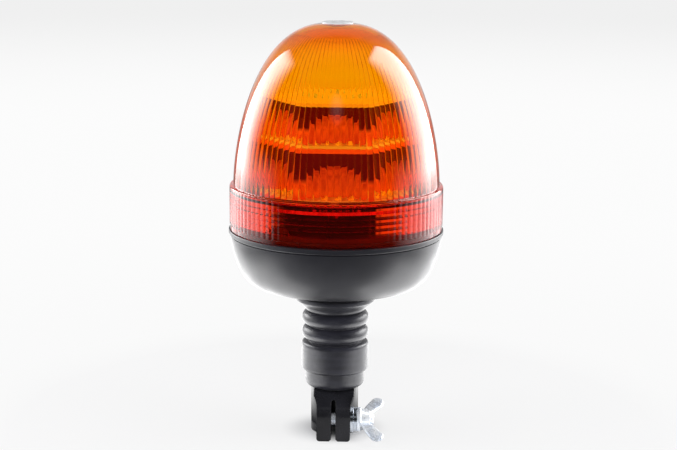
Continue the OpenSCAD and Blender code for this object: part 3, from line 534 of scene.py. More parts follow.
SKIRT_H = 27.2 * MM
LEDGE_W = 2.3 * MM
LEDGE_ROUND = 0.9 * MM
LEDGE_INSET = 0.1 * MM
LENS_WALL = 2.6 * MM
FOOT_CHAMFER = 0.3 * MM
DOME_H = 99 * MM
DOME_SIDE_CURVE = 1.696
DOME_SHOULDER_CURVE = 2.65
DOME_FILLET = 0.7 * MM
DOME_INSET = 0.05 * MM
CROWN_R = 10.5 * MM
CROWN_DISC_R = 9.8 * MM
CROWN_GAP = 0.1 * MM
CROWN_RECESS = 0.6 * MM
LENS_SEGMENTS = 768
FLUTES = 96
FLUTE_SHARE = 0.045
FLUTE_GROOVE = 0.14 * MM
FLUTE_GROOVE_SHARE = 0.05
FLUTE_TOP_R = 26 * MM
FLUTE_TOP_SHARE_GAP = 0.004
FLUTE_FOOT_SHARE = 0.035
FLUTE_FOOT_H = 1.2 * MM
INNER_TOP_R = 1 * MM
REEDS = 96
REED_DEPTH = 0.18 * MM
REED_EDGE = 0.15 * MM
REED_FADE_H = 0.5 * MM
REED_TOP_GAP = 0.8 * MM
BAND_H = 2.9 * MM
BAND_STEP = 0.3 * MM
PRISM_PITCH = 3.4 * MM
PRISM_DEPTH = 1.6 * MM
PRISMS = 5
PRISM_STEPS = 2
PRISM_TOP_GAP = 1.2 * MM
PRISM_FOOT_H = 0.5 * MM
INNER_CHAMFER = 0.4 * MM
LUGS = 3
LUG_HALF_ANGLE = math.radians(6)
LUG_Z = 6.9 * MM
LUG_T = 3 * MM
LUG_TIP_R = 61.0 * MM
# The lowest prisms, where the lugs stand, have more rows
LUG_PRISMS = 2
LUG_PRISM_STEPS = 10

skirt_r = lens_high.x
lens_z = lens_low.z
ledge_z = lens_z + SKIRT_H
dome_r = skirt_r - LEDGE_W
skirt_inner_r = skirt_r - LENS_WALL


def dome_point(share, radius, low):
    r = radius * max(0.0, 1 - share ** DOME_SIDE_CURVE) ** (1 / DOME_SHOULDER_CURVE)
    return r, low + share * DOME_H


def dome_share(r, radius):
    return (1 - (r / radius) ** DOME_SHOULDER_CURVE) ** (1 / DOME_SIDE_CURVE)


def dome_points(radius, low, first, last, steps):
    """Points of the dome between two shares of its height, closer together towards the top."""
    angles = [lerp(math.asin(first), math.asin(last), i / steps) for i in range(steps + 1)]
    return [dome_point(math.sin(a), radius, low) for a in angles]


def outer_lens_rows():
    """Rows (r, z, reed depth, flute depth, lug) from the skirt's foot up to the crown."""
    band_r = skirt_r - BAND_STEP
    reed_low = lens_z + BAND_H
    reed_high = ledge_z - LEDGE_ROUND - REED_TOP_GAP
    recess_r = CROWN_DISC_R + CROWN_GAP
    rows = [(band_r - FOOT_CHAMFER, lens_z, 0), (band_r, lens_z + FOOT_CHAMFER, 0), (band_r, reed_low, 0)]
    rows += [(r, z, REED_DEPTH) for r, z in line((skirt_r, reed_low + REED_EDGE), (skirt_r, reed_high), 2)]
    rows += [(skirt_r - REED_EDGE, reed_high + REED_FADE_H, REED_DEPTH / 2)]
    plain = arc(skirt_r - LEDGE_ROUND - LEDGE_INSET, ledge_z - LEDGE_ROUND, LEDGE_ROUND, 0, 90, 6)
    plain += arc(dome_r + DOME_FILLET, ledge_z + DOME_FILLET, DOME_FILLET, 270, 200, 4)
    first = dome_share(dome_r - DOME_INSET, dome_r)
    plain += dome_points(dome_r, ledge_z, first, dome_share(CROWN_R, dome_r), 30)
    flat_z = plain[-1][1]
    plain += [(recess_r, flat_z), (recess_r, flat_z - CROWN_RECESS), (0, flat_z - CROWN_RECESS)]
    rows += [(r, z, 0) for r, z in plain]
    return [(r, z, reed, 0, False) for r, z, reed in rows]


def inner_lens_rows():
    """Rows from the crown down the fluted dome and the skirt's prisms to the foot."""
    radius = dome_r - LENS_WALL
    low = ledge_z - LENS_WALL
    ring_share = dome_share(FLUTE_TOP_R, radius)
    top_share = dome_share(INNER_TOP_R, radius)
    cap = dome_points(radius, low, ring_share + FLUTE_TOP_SHARE_GAP, top_share, 8)
    flutes = dome_points(radius, low, FLUTE_FOOT_SHARE, ring_share, 32)
    dome = [(0, low + DOME_H, 0)]
    dome += [(r, z, 0) for r, z in reversed(cap)]
    dome += [(r, z, FLUTE_SHARE * TAU * r / FLUTES) for r, z in reversed(flutes)]
    dome += [(radius, low + FLUTE_FOOT_H, 0), (radius, low, 0)]
    prism_top = low - PRISM_TOP_GAP
    skirt = [(skirt_inner_r - INNER_CHAMFER, low, False), (skirt_inner_r, low - INNER_CHAMFER, False)]
    for prism in range(PRISMS):
        steps = LUG_PRISM_STEPS if prism >= PRISMS - LUG_PRISMS else PRISM_STEPS
        for i in range(steps):
            v = i / steps
            z = prism_top - (prism + v) * PRISM_PITCH
            depth = PRISM_DEPTH * abs(2 * v - 1)
            skirt.append((skirt_inner_r + depth, z, LUG_Z <= z - lens_z <= LUG_Z + LUG_T))
    foot = prism_top - PRISMS * PRISM_PITCH
    skirt += [(skirt_inner_r + PRISM_DEPTH, foot, False), (skirt_inner_r, foot - PRISM_FOOT_H, False),
              (skirt_inner_r, lens_z, False)]
    return [(r, z, 0, flute, False) for r, z, flute in dome] + [(r, z, 0, 0, lug) for r, z, lug in skirt]


def lens_part():
    rows = outer_lens_rows() + inner_lens_rows()

    def radius_at(row, r, z, angle):
        _, _, reed, flute, lug = rows[row]
        if lug and abs(off_middle(angle, TAU / LUGS)) <= LUG_HALF_ANGLE:
            return LUG_TIP_R
        u = angle / TAU * REEDS % 1
        v = angle / TAU * FLUTES % 1
        groove = FLUTE_GROOVE if flute and min(v, 1 - v) < FLUTE_GROOVE_SHARE else 0
        return r + groove - reed * (2 * u - 1) ** 2 - flute * (1 - (2 * v - 1) ** 2)

    verts, faces = lathe([row[:2] for row in rows], LENS_SEGMENTS, shape=radius_at)
    foot_out = range(0, LENS_SEGMENTS)
    foot_in = range(len(verts) - LENS_SEGMENTS, len(verts))
    return verts, faces + skin([foot_in, foot_out], LENS_SEGMENTS)


lens_piece = make_piece("lens_moulding", lens_part(), slots["amber_lens"], 20)
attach(lens_piece, "lens")
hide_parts("lens")
lens_piece.visible_shadow = False


# Base: hub, bowl, grooved rim bead and slotted upstand as one turned shell, with its screw posts

BOWL_D = 131.2 * MM
BOWL_H = 32.7 * MM
BOWL_WALL = 2.8 * MM
FLOOR_T = 3 * MM
BOWL_SIDE_CURVE = 1.2
BOWL_EDGE_CURVE = 10
BOWL_FLAT = 0.2
BOWL_SPACING = 3
HUB_R = 22.5 * MM
HUB_H = 6 * MM
HUB_EDGE = 0.5 * MM
HUB_FILLET = 1 * MM
STUD_HOLE_R = 8.1 * MM
RIM_H = 3.7 * MM
RIM_GROOVE = 0.8 * MM
RIM_GROOVE_SLOPE = 0.3 * MM
RIM_ROUND = 0.45 * MM
UPSTAND_WALL = 3.8 * MM
UPSTAND_R = 62.8 * MM
SEAL_LOW = 0.95 * MM
SEAL_H = 2.5 * MM
SEAL_DEPTH = 2.1 * MM
SLOT_LOW = 6.9 * MM
SLOT_H = 3.6 * MM
SLOT_R = 60.6 * MM
SLOT_EDGE = 0.1 * MM
CHANNEL_DEG = (-7, 27)
WAY_DEG = (13, 27)
BASE_SEGMENTS = 360
POST_SINK = 0.3
# Screw posts: circle, radius, rise of the foot, height, angles in degrees
POSTS = ((34 * MM, 4 * MM, 0, 20.4 * MM, (90, 210, 330)),
         (52 * MM, 4.2 * MM, 10 * MM, 42 * MM, (30, 150, 270)))

hub_z = base_low.z
bowl_z = hub_z + HUB_H
floor_top = bowl_z + FLOOR_T
rim_z = bowl_z + BOWL_H
rim_top = rim_z + RIM_H
rim_r = base_high.x
upstand_top = base_high.z


def bowl_points(radius, low, steps):
    """Points of the bowl from the edge of its flat floor up to the rim."""
    points = []
    for i in range(steps + 1):
        u = lerp(BOWL_FLAT, 1, i / steps)
        t = max(0.0, 1 - u ** BOWL_SPACING)
        r = radius * max(0.0, 1 - t ** BOWL_SIDE_CURVE) ** (1 / BOWL_EDGE_CURVE)
        points.append((r, rim_z - t * (rim_z - low) if i else low))
    return points


def base_part():
    bowl_r = BOWL_D / 2
    groove_r = bowl_r - RIM_GROOVE
    upstand_in = UPSTAND_R - UPSTAND_WALL
    seal_z = rim_top + SEAL_LOW
    seal_top = seal_z + SEAL_H
    seal_r = UPSTAND_R - SEAL_DEPTH
    slot_z = rim_top + SLOT_LOW
    slot_top = slot_z + SLOT_H
    profile = [(STUD_HOLE_R, floor_top), (STUD_HOLE_R, hub_z)]
    profile += arc(HUB_R - HUB_EDGE, hub_z + HUB_EDGE, HUB_EDGE, 270, 360, 4)
    profile += arc(HUB_R + HUB_FILLET, bowl_z - HUB_FILLET, HUB_FILLET, 180, 90, 5)
    profile += bowl_points(bowl_r, bowl_z, 64)
    profile += [(groove_r, rim_z + RIM_GROOVE_SLOPE), (groove_r, rim_z + RIM_GROOVE)]
    profile += arc(rim_r - RIM_ROUND, rim_z + RIM_GROOVE + RIM_ROUND, RIM_ROUND, 270, 360, 4)
    profile += arc(rim_r - RIM_ROUND, rim_top - RIM_ROUND, RIM_ROUND, 0, 90, 4)
    profile += [(UPSTAND_R, rim_top), (UPSTAND_R, seal_z), (seal_r, seal_z), (seal_r, seal_top),
                (UPSTAND_R, seal_top), (UPSTAND_R, slot_z - SLOT_EDGE)]
    first_slot = len(profile)
    profile += line((UPSTAND_R, slot_z), (UPSTAND_R, slot_top), 4)
    first_way = len(profile)
    profile += line((UPSTAND_R, slot_top + SLOT_EDGE), (UPSTAND_R, upstand_top), 4)
    end_way = len(profile)
    profile += [(upstand_in, upstand_top), (upstand_in, rim_z)]
    profile += reversed(bowl_points(bowl_r - BOWL_WALL, floor_top, 32))

    def radius_at(row, r, z, angle):
        degrees = off_middle(math.degrees(angle), 360 / LUGS)
        if first_slot <= row < first_way and CHANNEL_DEG[0] <= degrees <= CHANNEL_DEG[1]:
            return SLOT_R
        if first_way <= row < end_way and WAY_DEG[0] <= degrees <= WAY_DEG[1]:
            return SLOT_R
        return r

    parts = [lathe(profile, BASE_SEGMENTS, closed=True, shape=radius_at)]
    post_z = lerp(floor_top, bowl_z, POST_SINK)
    for circle_r, post_r, rise, height, angles in POSTS:
        post = lathe([(0, 0), (post_r, 0), (post_r, height), (0, height)], 32)
        shift = Matrix.Translation((circle_r, 0, post_z + rise))
        for degrees in angles:
            spin = Matrix.Rotation(math.radians(degrees), 4, "Z")
            parts.append(placed(post, spin @ shift))
    return join(*parts)


base_piece = make_piece("base_shell", base_part(), slots["base_plastic"], 30)
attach(base_piece, "head")
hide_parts("base_bowl")


# Rubber neck in two halves that meet in the groove between the rings

NECK_SEGMENTS = 160
STEP_R = 18.6 * MM
FOOT_R = 16.0 * MM
COLLAR_R = 21 * MM
COLLAR_H = 18.6 * MM
COLLAR_ROUND = 2.2 * MM
COLLAR_DROP = 0.1 * MM
STEP_H = 10 * MM
STEP_TAPER_H = 4.2 * MM
STEP_TAPER_STEPS = 10
ROUND_GAP = 0.5 * MM
CORE_R = 17.2 * MM
RING_R = 20.9 * MM
RING_PITCH = 9.4 * MM
RING_ROUND = 4.6 * MM
GROOVE_GAP = 0.95 * MM
CONE_H = 6.8 * MM
CONE_LIP = 1.7 * MM
FLANGE_T = 3 * MM
FLANGE_ROUND = 0.5 * MM
FLANGE_DROP = 0.2 * MM
HOLLOW_R = 10 * MM
SLEEVE_R = 14.8 * MM
SOCKET_GAP = 0.15 * MM
STUD_R = 8.15 * MM

neck_z = neck_low.z
collar_z = neck_z + STEP_H
collar_top = collar_z + COLLAR_H
bellows_z = collar_top + GROOVE_GAP
split_z = bellows_z + RING_PITCH
bellows_top = split_z + RING_PITCH
flange_z = bellows_top + CONE_H
neck_top = flange_z + FLANGE_T
flange_r = neck_high.x


def ring_points(centre_z):
    """One rounded ring from the groove below it to the groove above it."""
    centre_r = RING_R - RING_ROUND
    reach = math.degrees(math.acos((CORE_R - centre_r) / RING_ROUND))
    return arc(centre_r, centre_z, RING_ROUND, -reach, reach, 20)


def neck_lower_part():
    collar_round_r = COLLAR_R - COLLAR_ROUND
    collar_low = collar_z + COLLAR_ROUND
    collar_high = collar_top - COLLAR_ROUND
    hollow_z = socket_top + SOCKET_GAP
    sleeve_r = SLEEVE_R + SOCKET_GAP
    turns = [math.radians(90 * i / STEP_TAPER_STEPS) for i in range(STEP_TAPER_STEPS + 1)]
    outer = [(lerp(FOOT_R, STEP_R, math.sin(a)), neck_z + STEP_TAPER_H * (1 - math.cos(a))) for a in turns]
    outer += line((STEP_R, neck_z + STEP_TAPER_H + ROUND_GAP), (STEP_R, collar_z), 3)
    outer += arc(collar_round_r, collar_low, COLLAR_ROUND, 270, 360, 8)
    outer += line((COLLAR_R, collar_low + ROUND_GAP), (COLLAR_R, collar_high - ROUND_GAP), 6)
    outer += arc(collar_round_r, collar_high, COLLAR_ROUND, 0, 90, 8)
    outer += [(CORE_R, collar_top + COLLAR_DROP)]
    outer += ring_points(bellows_z + RING_PITCH / 2) + [(CORE_R, split_z)]
    inner = line((HOLLOW_R, split_z), (HOLLOW_R, hollow_z), 6) + [(sleeve_r, hollow_z), (sleeve_r, neck_z)]
    return lathe(outer + inner, NECK_SEGMENTS, closed=True)


def neck_upper_part():
    edge_r = flange_r - FLANGE_ROUND
    outer = [(CORE_R, split_z)] + ring_points(split_z + RING_PITCH / 2) + [(CORE_R, bellows_top)]
    outer += arc(CORE_R, bellows_top + CONE_LIP, CONE_LIP, 290, 360, 5)
    outer += line((CORE_R + 2 * CONE_LIP, bellows_top + CONE_H / 2), (edge_r, flange_z - FLANGE_DROP), 4)
    outer += arc(edge_r, flange_z + FLANGE_ROUND, FLANGE_ROUND, 290, 360, 4)
    outer += arc(edge_r, neck_top - FLANGE_ROUND, FLANGE_ROUND, 0, 90, 4)
    inner = [(STUD_R, neck_top), (STUD_R, bellows_top)]
    inner += line((HOLLOW_R, bellows_top), (HOLLOW_R, split_z), 6)
    return lathe(outer + inner, NECK_SEGMENTS, closed=True)


neck_lower = make_piece("neck_lower", neck_lower_part(), slots["neck_rubber"], 40)
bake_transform(neck_lower)
neck_upper = make_piece("neck_upper", neck_upper_part(), slots["neck_rubber"], 40)
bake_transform(neck_upper)
for piece in (neck_lower, neck_upper):
    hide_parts("flex_neck")


# The two leads, each in two halves that meet where the neck's halves meet

LEAD_R = 1.1 * MM
POSITIVE_ROUTE = ((2.2, 0, 0), (2.2, 0, 0.08), (3.4, -1.2, 0.2), (1.6, -1.6, 0.34), (2.2, 0, 0.48),
                  (2.2, 0, 0.6), (2.2, 0, 0.8), (2.2, 0, 1))
EARTH_ROUTE = ((0, 8, 0), (0, 8, 0.06), (-1.4, 5.4, 0.18), (-2.8, 2, 0.32), (-2.2, 0, 0.48),
               (-2.2, 0, 0.6), (-2.2, 0, 0.8), (-2.2, 0, 1))


def make_lead(node, route, low, slot_name):
    """The lead's route is in millimetres across and in shares of its height."""
    points = smooth_route([(x * MM, y * MM, lerp(low, lead_end_z, share)) for x, y, share in route], 8)
    below = [p for p in points if p.z < split_z]
    above = [p for p in points if p.z > split_z]
    last = below[-1]
    meet = last.lerp(above[0], (split_z - last.z) / (above[0].z - last.z))
    halves = (("lower", below + [meet], "clamp", "neck", collar_top, split_z),
              ("upper", [meet] + above, "neck", "head", split_z, bellows_top))
    for end, path, first, second, start, stop in halves:
        piece = make_piece(f"{node}_{end}", tube(path, LEAD_R), slots[slot_name])
        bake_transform(piece)
        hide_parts(node)


make_lead("positive_lead", POSITIVE_ROUTE, terminal_top, "red_insulation")
make_lead("earth_lead", EARTH_ROUTE, earth_lug_top, "black_insulation")


# Contact spring: an open coil built at one length; the real one closes up as the plunger is pressed

SPRING_WIRE_R = 0.225 * MM
SPRING_COIL_R = 3.15 * MM
SPRING_TURNS = 4
SPRING_STEPS = 32


def spring_part():
    low = spring_low.z + SPRING_WIRE_R
    high = spring_high.z - SPRING_WIRE_R
    steps = SPRING_STEPS * SPRING_TURNS
    points = []
    for i in range(steps + 1):
        share = i / steps
        turn = TAU * SPRING_TURNS * share
        z = lerp(low, high, share)
        points.append((SPRING_COIL_R * math.cos(turn), SPRING_COIL_R * math.sin(turn), z))
    return tube(points, SPRING_WIRE_R)


spring_piece = make_piece("contact_coil", spring_part(), slots["spring_steel"])
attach(spring_piece, "clamp")
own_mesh(spring_piece)
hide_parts("contact_spring")


# Clamp bolt with a rolled thread and a chamfered head, and the cast wing nut

BOLT_R = 4 * MM
THREAD_PITCH = 1.25 * MM
THREAD_DEPTH = 0.62 * MM
THREAD_SHARPNESS = 1.15
THREAD_ROWS = 10
RUNOUT_TURNS = 3
BOLT_CHAMFER = 1.0 * MM
HEAD_H = 5.3 * MM
HEAD_AF = 13 * MM
HEAD_FACE_INSET = 0.4 * MM
HEAD_FACE_STEP = 0.05 * MM
HEAD_CHAMFER_H = 0.6 * MM
NUT_FOOT_H = 2.4 * MM
NUT_FOOT_R = 7.5 * MM
NUT_HUB_H = 6 * MM
NUT_HUB_LOW_R = 6.7 * MM
NUT_HUB_HIGH_R = 5.7 * MM
NUT_BORE_R = 4.05 * MM
NUT_EDGE = 0.5 * MM
NUT_FILLET = 0.6 * MM
NUT_ROUND = 0.8 * MM
WING_ROLL = math.radians(26)
WING_SECTIONS = 24
WING_POINTS = 20
# A wing's middle line as distance from the bolt and height over the foot, then half sizes at root and tip
WING_ROOT = (3.6 * MM, 2.9 * MM)
WING_BEND = (9.0 * MM, 4.8 * MM)
WING_TIP = (17.8 * MM, 12.8 * MM)
WING_HALF_W = (2.5 * MM, 4.4 * MM)
WING_HALF_T = (1.6 * MM, 0.95 * MM)
WING_W_CURVE = 0.8
WING_T_CURVE = 0.5
WING_SQUARENESS = (0.5, 0.6)
WING_BLUNT_FROM = 0.8
WING_END = 0.995
WING_LEAST = 0.05

along_bolt = Matrix.Translation(bolt_axis) @ Matrix.Rotation(math.pi / 2, 4, "Y")


def bolt_part():
    """In the bolt's own frame: Z along the bolt, zero at the wing nut's foot."""
    start = bolt_low.x - bolt_axis.x + HEAD_H
    end = bolt_high.x - bolt_axis.x
    count = int((end - start) / THREAD_PITCH * THREAD_ROWS)
    profile = [(0, start)]
    profile += [(BOLT_R, lerp(start, end, i / count)) for i in range(count + 1)] + [(0, end)]

    def thread(row, r, z, angle):
        phase = ((z - start) / THREAD_PITCH - angle / TAU) % 1
        groove = THREAD_DEPTH * max(0.0, 1 - abs(2 * phase - 1) * THREAD_SHARPNESS)
        runout = min(1.0, (z - start) / (RUNOUT_TURNS * THREAD_PITCH))
        return min(r - groove * runout, BOLT_R - BOLT_CHAMFER + max(0.0, end - z))

    shank = lathe(profile, 48, shape=thread)
    head_low = start - HEAD_H
    face_r = HEAD_AF / 2
    corner = face_r / math.cos(math.pi / 6)

    def hexagon(row, r, z, angle):
        return min(r, face_r / math.cos(off_middle(angle, math.pi / 3)))

    head = [(0, head_low), (face_r - HEAD_FACE_INSET, head_low), (face_r, head_low + HEAD_FACE_STEP),
            (corner, head_low + HEAD_CHAMFER_H), (corner, start), (0, start)]
    return join(shank, lathe(head, 96, shape=hexagon))


def wing_section(s):
    """One section of a wing at share s of its length: a flattened ring that grows blunt at the tip."""
    root, bend, tip = (Vector((out, NUT_FOOT_H + up)) for out, up in (WING_ROOT, WING_BEND, WING_TIP))
    centre = (1 - s) ** 2 * root + 2 * s * (1 - s) * bend + s * s * tip
    along = (2 * (1 - s) * (bend - root) + 2 * s * (tip - bend)).normalized()
    across = Vector((-along.y, along.x))
    end_share = max(0.0, (s - WING_BLUNT_FROM) / (1 - WING_BLUNT_FROM))
    blunt = math.sqrt(max(0.0, 1 - end_share ** 2))
    half_w = lerp(*WING_HALF_W, s ** WING_W_CURVE) * blunt
    half_t = lerp(*WING_HALF_T, s ** WING_T_CURVE) * max(WING_LEAST, blunt ** 0.5)
    ring = []
    for k in range(WING_POINTS):
        cosine = math.cos(TAU * k / WING_POINTS)
        sine = math.sin(TAU * k / WING_POINTS)
        wide = half_w * math.copysign(abs(cosine) ** WING_SQUARENESS[0], cosine)
        thick = half_t * math.copysign(abs(sine) ** WING_SQUARENESS[1], sine)
        p = centre + wide * across
        ring.append(Vector((thick, p.x, p.y)))
    return ring


def wing_part(turn):
    rings = [wing_section(min(WING_END, i / WING_SECTIONS)) for i in range(WING_SECTIONS + 1)]
    return placed(loft(rings), Matrix.Rotation(turn, 4, "Z"))


def wing_nut_part():
    top = NUT_FOOT_H + NUT_HUB_H
    mouth_r = NUT_BORE_R + NUT_EDGE
    edge_r = NUT_FOOT_R - NUT_EDGE
    profile = [(mouth_r, 0)]
    profile += arc(edge_r, NUT_EDGE, NUT_EDGE, 270, 360, 4)
    profile += arc(edge_r, NUT_FOOT_H - NUT_EDGE, NUT_EDGE, 0, 90, 4)
    profile += arc(NUT_HUB_LOW_R + NUT_FILLET, NUT_FOOT_H + NUT_FILLET, NUT_FILLET, 270, 190, 4)
    profile += arc(NUT_HUB_HIGH_R - NUT_ROUND, top - NUT_ROUND, NUT_ROUND, 10, 90, 4)
    profile += [(mouth_r, top), (NUT_BORE_R, top - NUT_EDGE), (NUT_BORE_R, NUT_EDGE)]
    body = lathe(profile, 72, closed=True)
    return join(body, wing_part(WING_ROLL), wing_part(WING_ROLL + math.pi))


bolt_piece = make_piece("threaded_bolt", placed(bolt_part(), along_bolt), zinc, 30)
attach(bolt_piece, "clamp")
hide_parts("clamp_bolt")
nut_piece = make_piece("cast_wing_nut", placed(wing_nut_part(), along_bolt), zinc, 40)
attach(nut_piece, "wing_nut")
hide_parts("wing_nut")


# Stage: pale floor, cards at the sides and in front, a light tent that is dark in front and overhead

SQUARE = ((-1, -1), (1, -1), (1, 1), (-1, 1))
BACKGROUND = (0.87, 0.87, 0.875)
FLOOR_HALF = 5.0
FLOOR_COLOR = (0.64, 0.64, 0.65)
# Distances from the axis: where the paper ends, where glow is painted over the object's shadow on it, where its
# glow rises and falls
PAPER_END = (0.07, 0.26)
PAINTED_LIGHT_RANGE = (0.012, 0.036)
PAINTED_LIGHT_SHARE = 0.8
GLOW_RISE = (0.05, 0.7)
GLOW_FALL = (1.4, 3.6)
GLOW_NEAR = 0.95
GLOW_MID = 0.97
GLOW_FAR = 0.87
# Where gloss shows the floor dark: towards the camera along Y, and far out
DARK_FROM = -0.035
DARK_TO = -0.30
DARK_LEVEL = 0.010
DARK_BEYOND = (0.55, 0.85)
DARK_SHARE = 0.7
# Cards: distances to the side, ranges along Y and Z, widths of their fades
SOFTBOX_X = (0.26, 0.62)
SOFTBOX_LOW = 0.004
SOFTBOX_Y = (-0.25, 0.42)
SOFTBOX_LEAN = 0.18
SOFTBOX_TOP_FADE = 0.3
SOFTBOX_FOOT_FADE = (0.10, 0.17)
SOFTBOX_FOOT_LEVEL = 0.3
STRIP_X = (0.018, 0.27)
STRIP_FULL = 0.07
STRIP_Y = (-0.1, 0.5)
STRIP_Z = 0.003
SKIRT_CARD_X = 0.25
SKIRT_CARD_Y = (-0.17, 0.14)
SKIRT_CARD_Z = (0.05, 0.21)
SKIRT_CARD_FRONT_FADE = 0.17
SKIRT_CARD_TOP_FADE = 0.07
# Directions over which the tent changes and its levels there; the shade is what clear plastic shows
TENT_FRONT = (-0.6, -0.1)
TENT_FRONT_LEVEL = 0.03
TENT_OVERHEAD = (0.15, 0.5)
TENT_OVERHEAD_LEVEL = 0.08
TENT_BEHIND = (0.2, 0.6)
TENT_BEHIND_LEVEL = 0.45
SHADE_FRONT = (-0.60, -0.40)
SHADE_LEVEL = 0.01
SHADE_TURN = 0.244
LAMP_AIM = (0, 0, 0.13)


def position_axes(tree):
    """The place that is seen, whole and as its axes."""
    place = tree.nodes.new("ShaderNodeNewGeometry").outputs["Position"]
    split = tree.nodes.new("ShaderNodeSeparateXYZ")
    tree.links.new(place, split.inputs["Vector"])
    return place, split.outputs


def new_stage_material(name):
    material = bpy.data.materials.new(name)
    material.use_nodes = True
    material.node_tree.nodes.clear()
    return material, add_node(material, "ShaderNodeOutputMaterial")


def floor_material():
    """White paper that fades into the background further out, with glow painted over it near the object to lighten
    the object's shadow. In gloss it is dark in front and far out.
    """
    material, output = new_stage_material("pale_floor")
    tree = material.node_tree
    paper = add_node(material, "ShaderNodeBsdfDiffuse")
    paper.inputs["Color"].default_value = (*FLOOR_COLOR, 1)
    glow = add_node(material, "ShaderNodeEmission")
    dark = add_node(material, "ShaderNodeEmission")
    dark.inputs["Strength"].default_value = DARK_LEVEL
    place, axes = position_axes(tree)
    length = add_node(material, "ShaderNodeVectorMath", operation="LENGTH")
    wire(material, place, length.inputs[0])
    away = length.outputs["Value"]
    # Painted light: glow mixed into the paper around the object lightens its shadow
    painted_light = step(tree, away, *PAINTED_LIGHT_RANGE, 0, PAINTED_LIGHT_SHARE)
    fade = combine(tree, "MAXIMUM", step(tree, away, *PAPER_END, 0, 1), painted_light)
    rays = add_node(material, "ShaderNodeLightPath")
    gloss = rays.outputs["Is Glossy Ray"]
    mirrored = combine(tree, "GREATER_THAN", gloss, rays.outputs["Is Transmission Ray"])
    rise = step(tree, away, *GLOW_RISE, GLOW_NEAR, GLOW_MID)
    fall = step(tree, away, *GLOW_FALL, GLOW_MID, GLOW_FAR)
    level = combine(tree, "MINIMUM", rise, fall)
    wire(material, combine(tree, "MAXIMUM", gloss, level), glow.inputs["Strength"])
    front = step(tree, axes["Y"], DARK_TO, DARK_FROM, 1, 0)
    beyond = step(tree, away, *DARK_BEYOND, 0, DARK_SHARE)
    unlit = combine(tree, "MAXIMUM", front, beyond)
    pale = add_node(material, "ShaderNodeMixShader")
    wire(material, fade, pale.inputs["Fac"])
    wire(material, paper.outputs["BSDF"], pale.inputs[1])
    wire(material, glow.outputs["Emission"], pale.inputs[2])
    shown = add_node(material, "ShaderNodeMixShader")
    wire(material, combine(tree, "MULTIPLY", mirrored, unlit), shown.inputs["Fac"])
    wire(material, pale.outputs["Shader"], shown.inputs[1])
    wire(material, dark.outputs["Emission"], shown.inputs[2])
    wire(material, shown.outputs["Shader"], output.inputs["Surface"])
    material.cycles.emission_sampling = "NONE"
    return material


def quad(name, corners, material):
    """A flat piece of the stage."""
    mesh = bpy.data.meshes.new(name)
    mesh.from_pydata(corners, [], [list(range(len(corners)))])
    mesh.materials.append(material)
    card = add_object(name, mesh)
    return card


quad("floor", [(x * FLOOR_HALF, y * FLOOR_HALF, 0) for x, y in SQUARE], floor_material())


def glow_material(name):
    """A material that glows; its strength is wired by the card that has it."""
    material, output = new_stage_material(name)
    glow = add_node(material, "ShaderNodeEmission")
    wire(material, glow.outputs["Emission"], output.inputs["Surface"])
    return material, glow


def add_card(name, corners, material, seen_through=False):
    """A card that only gloss shows, and clear plastic too where it is seen through."""
    card = quad(name, corners, material)
    card.visible_camera = False
    card.visible_diffuse = False
    card.visible_shadow = False
    card.visible_transmission = seen_through


def add_softbox(name, side, strength, front, high):
    """A tall leaning card beside and behind the object; higher up its soft edge comes further forward."""
    foot, head = (side * x for x in SOFTBOX_X)
    near, back = SOFTBOX_Y
    material, glow = glow_material(name)
    tree = material.node_tree
    axes = position_axes(tree)[1]
    lean = combine(tree, "MULTIPLY_ADD", axes["Z"], SOFTBOX_LEAN, axes["Y"])
    edge = step(tree, lean, *front, 0, strength)
    top = step(tree, axes["Z"], high - SOFTBOX_TOP_FADE, high, 1, 0)
    bottom = step(tree, axes["Z"], *SOFTBOX_FOOT_FADE, SOFTBOX_FOOT_LEVEL, 1)
    level = combine(tree, "MULTIPLY", edge, combine(tree, "MULTIPLY", top, bottom))
    wire(material, level, glow.inputs["Strength"])
    low = SOFTBOX_LOW
    add_card(name, [(foot, near, low), (foot, back, low), (head, back, high), (head, near, high)], material)


def add_floor_strip(name, side, strength):
    """A low card beside the object that only gloss shows, brighter further out."""
    near, far = (side * x for x in STRIP_X)
    front, back = STRIP_Y
    material, glow = glow_material(name)
    tree = material.node_tree
    axes = position_axes(tree)[1]
    level = step(tree, axes["X"], near, side * STRIP_FULL, 0, strength)
    wire(material, level, glow.inputs["Strength"])
    outline = ((near, front), (near, back), (far, back), (far, front))
    add_card(name, [(x, y, STRIP_Z) for x, y in outline], material)


def add_skirt_card(name, side, strength):
    """A low clear card beside the object whose weak gloss lies on the skirt's flank."""
    front, back = SKIRT_CARD_Y
    low, high = SKIRT_CARD_Z
    material, glow = glow_material(name)
    tree = material.node_tree
    axes = position_axes(tree)[1]
    edge = step(tree, axes["Y"], front, front + SKIRT_CARD_FRONT_FADE, 0, strength)
    top = step(tree, axes["Z"], high - SKIRT_CARD_TOP_FADE, high, 1, 0)
    wire(material, combine(tree, "MULTIPLY", edge, top), glow.inputs["Strength"])
    clear = add_node(material, "ShaderNodeAddShader")
    wire(material, glow.outputs["Emission"], clear.inputs[0])
    wire(material, add_node(material, "ShaderNodeBsdfTransparent").outputs["BSDF"], clear.inputs[1])
    wire(material, clear.outputs["Shader"], tree.nodes["Material Output"].inputs["Surface"])
    outline = ((front, low), (back, low), (back, high), (front, high))
    add_card(name, [(side * SKIRT_CARD_X, y, z) for y, z in outline], material)


